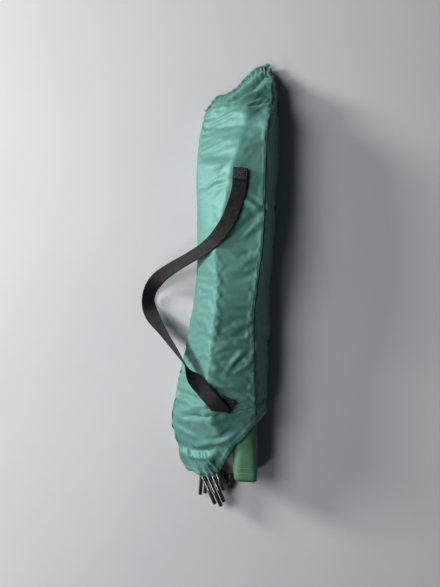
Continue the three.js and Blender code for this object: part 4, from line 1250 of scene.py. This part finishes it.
def make_strap_ends():
    upper_line = [(6 * MM, 187.5 * MM, 0), (6 * MM, 198 * MM, 0), (6 * MM, 208 * MM, 0)]
    _, upper = laid_webbing("strap_patch_upper", upper_line, 3.4 * MM, 2.2 * MM)
    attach(upper, "carry_bag")
    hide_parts("strap_end_upper")
    centre = np.array([6.0, 198.0]) * MM
    rows = box_and_cross(centre, (0, 1), 20 * MM, 15 * MM)
    rows += [(centre + np.array([-9.0, y]) * MM, centre + np.array([9.0, y]) * MM)
             for y in (-4.6, -1.6, 1.6, 4.6)]
    sew_down("strap_stitches_upper", rows, upper, 0.42 * MM)

    lower_line = [
        (3.4 * MM, FOLD_LINE_Y + 1.2 * MM, 0), (8 * MM, -183 * MM, 0), (12.4 * MM, -172.5 * MM, 0),
    ]
    _, lower = laid_webbing("strap_tail_lower", lower_line, 0.9 * MM, 1.7 * MM)
    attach(lower, "carry_bag")
    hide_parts("strap_end_lower")
    tail_centre = np.array([10.2, -178.5]) * MM
    rows = box_and_cross(tail_centre, (0.4, 0.92), 19 * MM, 9 * MM)
    sew_down("strap_stitches_lower", rows, lower, 0.4 * MM)


make_strap()
make_strap_ends()

# ------------------------------------------------------------------------- rolled cloth
SAG_LENGTH = 110 * MM  # the flysheet's roll is loose over this much of its mouth end
SAG_SHARE = 0.24  # and sinks by this share of its height
SAG_SQUARENESS = 1.6
TIE_WIDTH = 20 * MM
TIE_THICK = 0.8 * MM


def rolled_cloth(name, node, body, material, turns, rows, seed, sags):
    """A sheet rolled up inside the CAD roll: a spiral of soft layers with uneven ends."""
    oval = roll_oval(node)
    length = oval["to"] - oval["from"]
    half_width, half_height = oval["rx"], oval["rz"]
    per_turn = 64
    count = int(turns * per_turn)
    pitch = 12.6 * MM / turns
    thick = 0.72 * pitch
    angle = -np.pi / 2 - np.arange(count + 1) / per_turn * 2 * np.pi
    deep = np.arange(count + 1) / per_turn * pitch
    rng = np.random.default_rng(seed)
    y_along = np.linspace(0, 1, rows)
    puff = soft_noise((rows, per_turn), (max(6, rows // 5), 14), seed)
    broad = soft_noise((rows, per_turn), (5, 7), seed + 1)
    ragged = np.repeat(rng.uniform(-1, 1, int(turns) + 2), per_turn)[:count + 1]
    ragged = running_mean(ragged, per_turn // 3)
    outer, inner = [], []
    for r, t in enumerate(y_along):
        y = oval["from"] + t * length
        x = oval["x"] - ROLL_LEAN * (y - oval["from"])
        column = np.arange(count + 1) % per_turn
        dent = (0.9 * puff[r, column] + 1.3 * broad[r, column] - 1.9) * MM
        dent = np.minimum(dent, -0.2 * MM)
        for offset, store in ((0.0, outer), (thick, inner)):
            inset = deep + offset - dent
            px = np.cos(angle)
            pz = np.sin(angle)
            loose = (1 - smoothstep(0, SAG_LENGTH, t * length)) * sags
            roundness = np.where((px < 0) & (pz > 0), oval["round"], 2.0)
            roundness += np.where(pz > 0, SAG_SQUARENESS * loose, 0)
            px = np.sign(px) * np.abs(px) ** (2 / roundness) * (half_width - inset)
            pz = np.sign(pz) * np.abs(pz) ** (2 / roundness) * (half_height - inset)
            px += crest_shift(oval, y, pz / half_height)
            pz -= (pz + half_height) * SAG_SHARE * loose
            end = smoothstep(0.04, 0.0, t) + smoothstep(0.96, 1.0, t)
            shift = -ragged * 2.2 * MM * end * (1 if t < 0.5 else -1) + (
                smoothstep(0.04, 0.0, t) - smoothstep(0.96, 1.0, t)) * 2.4 * MM
            store.append(np.stack([x + px, np.full(count + 1, y) + shift, oval["z"] + pz], axis=1))
    outer, inner = np.array(outer), np.array(inner)
    ring = np.concatenate([outer, inner[:, ::-1]], axis=1)
    columns = ring.shape[1]
    faces = grid_faces(rows, columns, True)
    cap = [(i, i + 1, columns - 2 - i, columns - 1 - i) for i in range(count)]
    faces += [face[::-1] for face in cap]
    last = (rows - 1) * columns
    faces += [tuple(last + i for i in face) for face in cap]
    around = np.concatenate([[0], np.linalg.norm(np.diff(ring[0], axis=0), axis=1).cumsum()])
    uvs = [(around[c], y_along[r] * length) for r in range(rows) for c in range(columns)]
    roll = add_object(name, ring.reshape(-1, 3), faces, material, uvs)
    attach(roll, body)
    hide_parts(node)
    return outer


def make_tie(node, roll_node, body, outer):
    """A flat tie drawn round a roll: it spans the dents of the rolled cloth."""
    oval = roll_oval(roll_node)
    low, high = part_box(node)
    y = (low.y + high.y) / 2
    rings = outer[:, :64]
    near = np.abs(rings[:, 0, 1] - y) < TIE_WIDTH / 2 + 2 * MM
    middle = np.stack([oval["x"] - ROLL_LEAN * (rings[near, :, 1] - oval["from"]), rings[near, :, 1],
                       np.full(rings[near, :, 1].shape, oval["z"])], axis=2)
    spoke = rings[near] - middle
    radius = np.linalg.norm(spoke, axis=2).max(axis=0) + 0.5 * MM + TIE_THICK / 2
    radius = np.array([np.take(radius, range(i - 2, i + 3), mode="wrap").mean() for i in range(64)])
    out = unit(spoke.mean(axis=0) * (1, 0, 1))
    line = middle.mean(axis=0) + out * radius[:, None]
    line[:, 1] = y
    line = np.concatenate([line, line[:1]])
    out = np.concatenate([out, out[:1]])
    tie = sweep(node.replace("tie", "band"), line, rounded_flat(TIE_WIDTH, TIE_THICK), TIE_WEBBING,
                face=out, capped=False)
    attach(tie, body)
    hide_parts(node)


def make_rolls():
    outer = rolled_cloth("flysheet_bundle_roll", "flysheet_roll", "flysheet_bundle", FLY_CLOTH_PAINTED_SHADE,
                         5.25, 120, 11, True)
    inner = rolled_cloth("inner_tent_bundle_roll", "inner_tent_roll", "carry_bag", INNER_CLOTH,
                         5.25, 120, 17, False)
    for place in ("upper", "lower"):
        make_tie(f"flysheet_tie_{place}", "flysheet_roll", "flysheet_bundle", outer)
        make_tie(f"inner_tent_tie_{place}", "inner_tent_roll", "carry_bag", inner)
    # the flysheet's hem: two rows of stitches round the roll near its mouth end
    lines = []
    for row in (3, 5):
        ring = outer[row, 2:66]
        away = ring - ring.mean(axis=0)
        away[:, 1] = 0
        up = unit(away)
        lines.append((ring + up * 0.25 * MM, up))
    sewn = stitches("flysheet_hem_stitches", lines, GREEN_THREAD, 2.4 * MM, 0.28 * MM)
    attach(sewn, "flysheet_bundle")


make_rolls()

# ------------------------------------------------------------------------- poles
BEND = math.radians(28)
BEND_RADIUS = 26 * MM
POLE_BORE = 2.6 * MM


def leg_line(node):
    """The middle line of a pre-bent leg, read from its CAD box."""
    low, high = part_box(node)
    radius = (high.z - low.z) / 2
    z = (high.z + low.z) / 2
    tip = np.array([high.x - radius * math.cos(BEND), low.y + radius * math.sin(BEND)])
    x = low.x + radius
    corner = tip[1] + (tip[0] - x) / math.tan(BEND)
    setback = BEND_RADIUS * math.tan(BEND / 2)
    points = [(x, high.y, z)]
    points += [(x, y, z) for y in np.linspace(high.y - 0.05, corner + setback + 0.02, 6)]
    for angle in np.linspace(0, BEND, 9):
        points.append((x + BEND_RADIUS * (1 - math.cos(angle)),
                       corner + setback - BEND_RADIUS * math.sin(angle), z))
    start = np.array(points[-1][:2])
    points += [(*(start + (tip - start) * t), z) for t in (0.33, 0.66, 1.0)]
    return np.array(points), radius


def hollow_tube(name, node, line, radius):
    """A thin-walled pole with rounded lips at both ends."""
    sides = 24
    lip = 0.35 * MM
    tangent, side, up = frames_along(line, np.array([0.0, 0.0, 1.0]))
    rings = []
    for i in range(len(line)):
        for inward, grow in (((0, -lip), (lip * 0.8, 0)) if i == 0 else
                             ((-lip * 0.8, 0), (0, -lip)) if i == len(line) - 1 else ((0, 0),)):
            rings.append((line[i] + tangent[i] * inward, side[i], up[i], radius + grow))
    bore = [(at, s, u, r - (radius - POLE_BORE)) for at, s, u, r in rings[::-1]]
    bore = [(at, s, u, POLE_BORE if 0 < k < len(bore) - 1 else POLE_BORE + lip * 0.4)
            for k, (at, s, u, r) in enumerate(bore)]
    grid = np.array([at + circle(r, sides)[:, :1] * s + circle(r, sides)[:, 1:] * u
                     for at, s, u, r in rings + bore])
    rows = len(grid)
    faces = grid_faces(rows, sides, True)
    faces += [((rows - 1) * sides + c, (rows - 1) * sides + (c + 1) % sides, (c + 1) % sides, c)
              for c in range(sides)]
    tube = add_object(name, grid.reshape(-1, 3), faces, POLE_PAINT)
    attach(tube, "pole_bundle")
    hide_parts(node)


def make_poles():
    for i in range(1, 5):
        line, radius = leg_line(f"leg_pole_{i}")
        hollow_tube(f"leg_tube_{i}", f"leg_pole_{i}", line, radius)
    for i in range(1, 4):
        low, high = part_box(f"ridge_pole_{i}")
        x, z = (low.x + high.x) / 2, (low.z + high.z) / 2
        line = np.array([(x, y, z) for y in np.linspace(high.y, low.y, 10)])
        hollow_tube(f"ridge_tube_{i}", f"ridge_pole_{i}", line, (high.z - low.z) / 2)


make_poles()


# ------------------------------------------------------------------------- CAD nodes that stay
def dress(node, material, bevel=0.0):
    obj = NODES[node]
    obj.data.materials.clear()
    obj.data.materials.append(material)
    if bevel:
        modifier(obj, "WELD", merge_threshold=1e-5)
        modifier(obj, "BEVEL", width=bevel, segments=3, limit_method="ANGLE", angle_limit=0.6)
    obj.data.shade_smooth()
    modifier(obj, "EDGE_SPLIT", split_angle=math.radians(48))


for number in range(1, 7):
    dress(f"tent_peg_{number}", STEEL)
for number in range(1, 5):
    dress(f"leg_foot_{number}", RUBBER, 0.4 * MM)
for number in range(1, 3):
    dress(f"ridge_spigot_{number}", STEEL, 0.5 * MM)
for place in ("upper", "lower"):
    dress(f"pole_tie_{place}", TIE_WEBBING, 0.3 * MM)
dress("peg_pouch", POUCH_CLOTH)
dress("cord_lock_barrel", LOCK_PLASTIC, 0.6 * MM)
dress("cord_lock_plunger", LOCK_PLASTIC, 0.5 * MM)
dress("drawcord_eyelet", LOCK_PLASTIC)
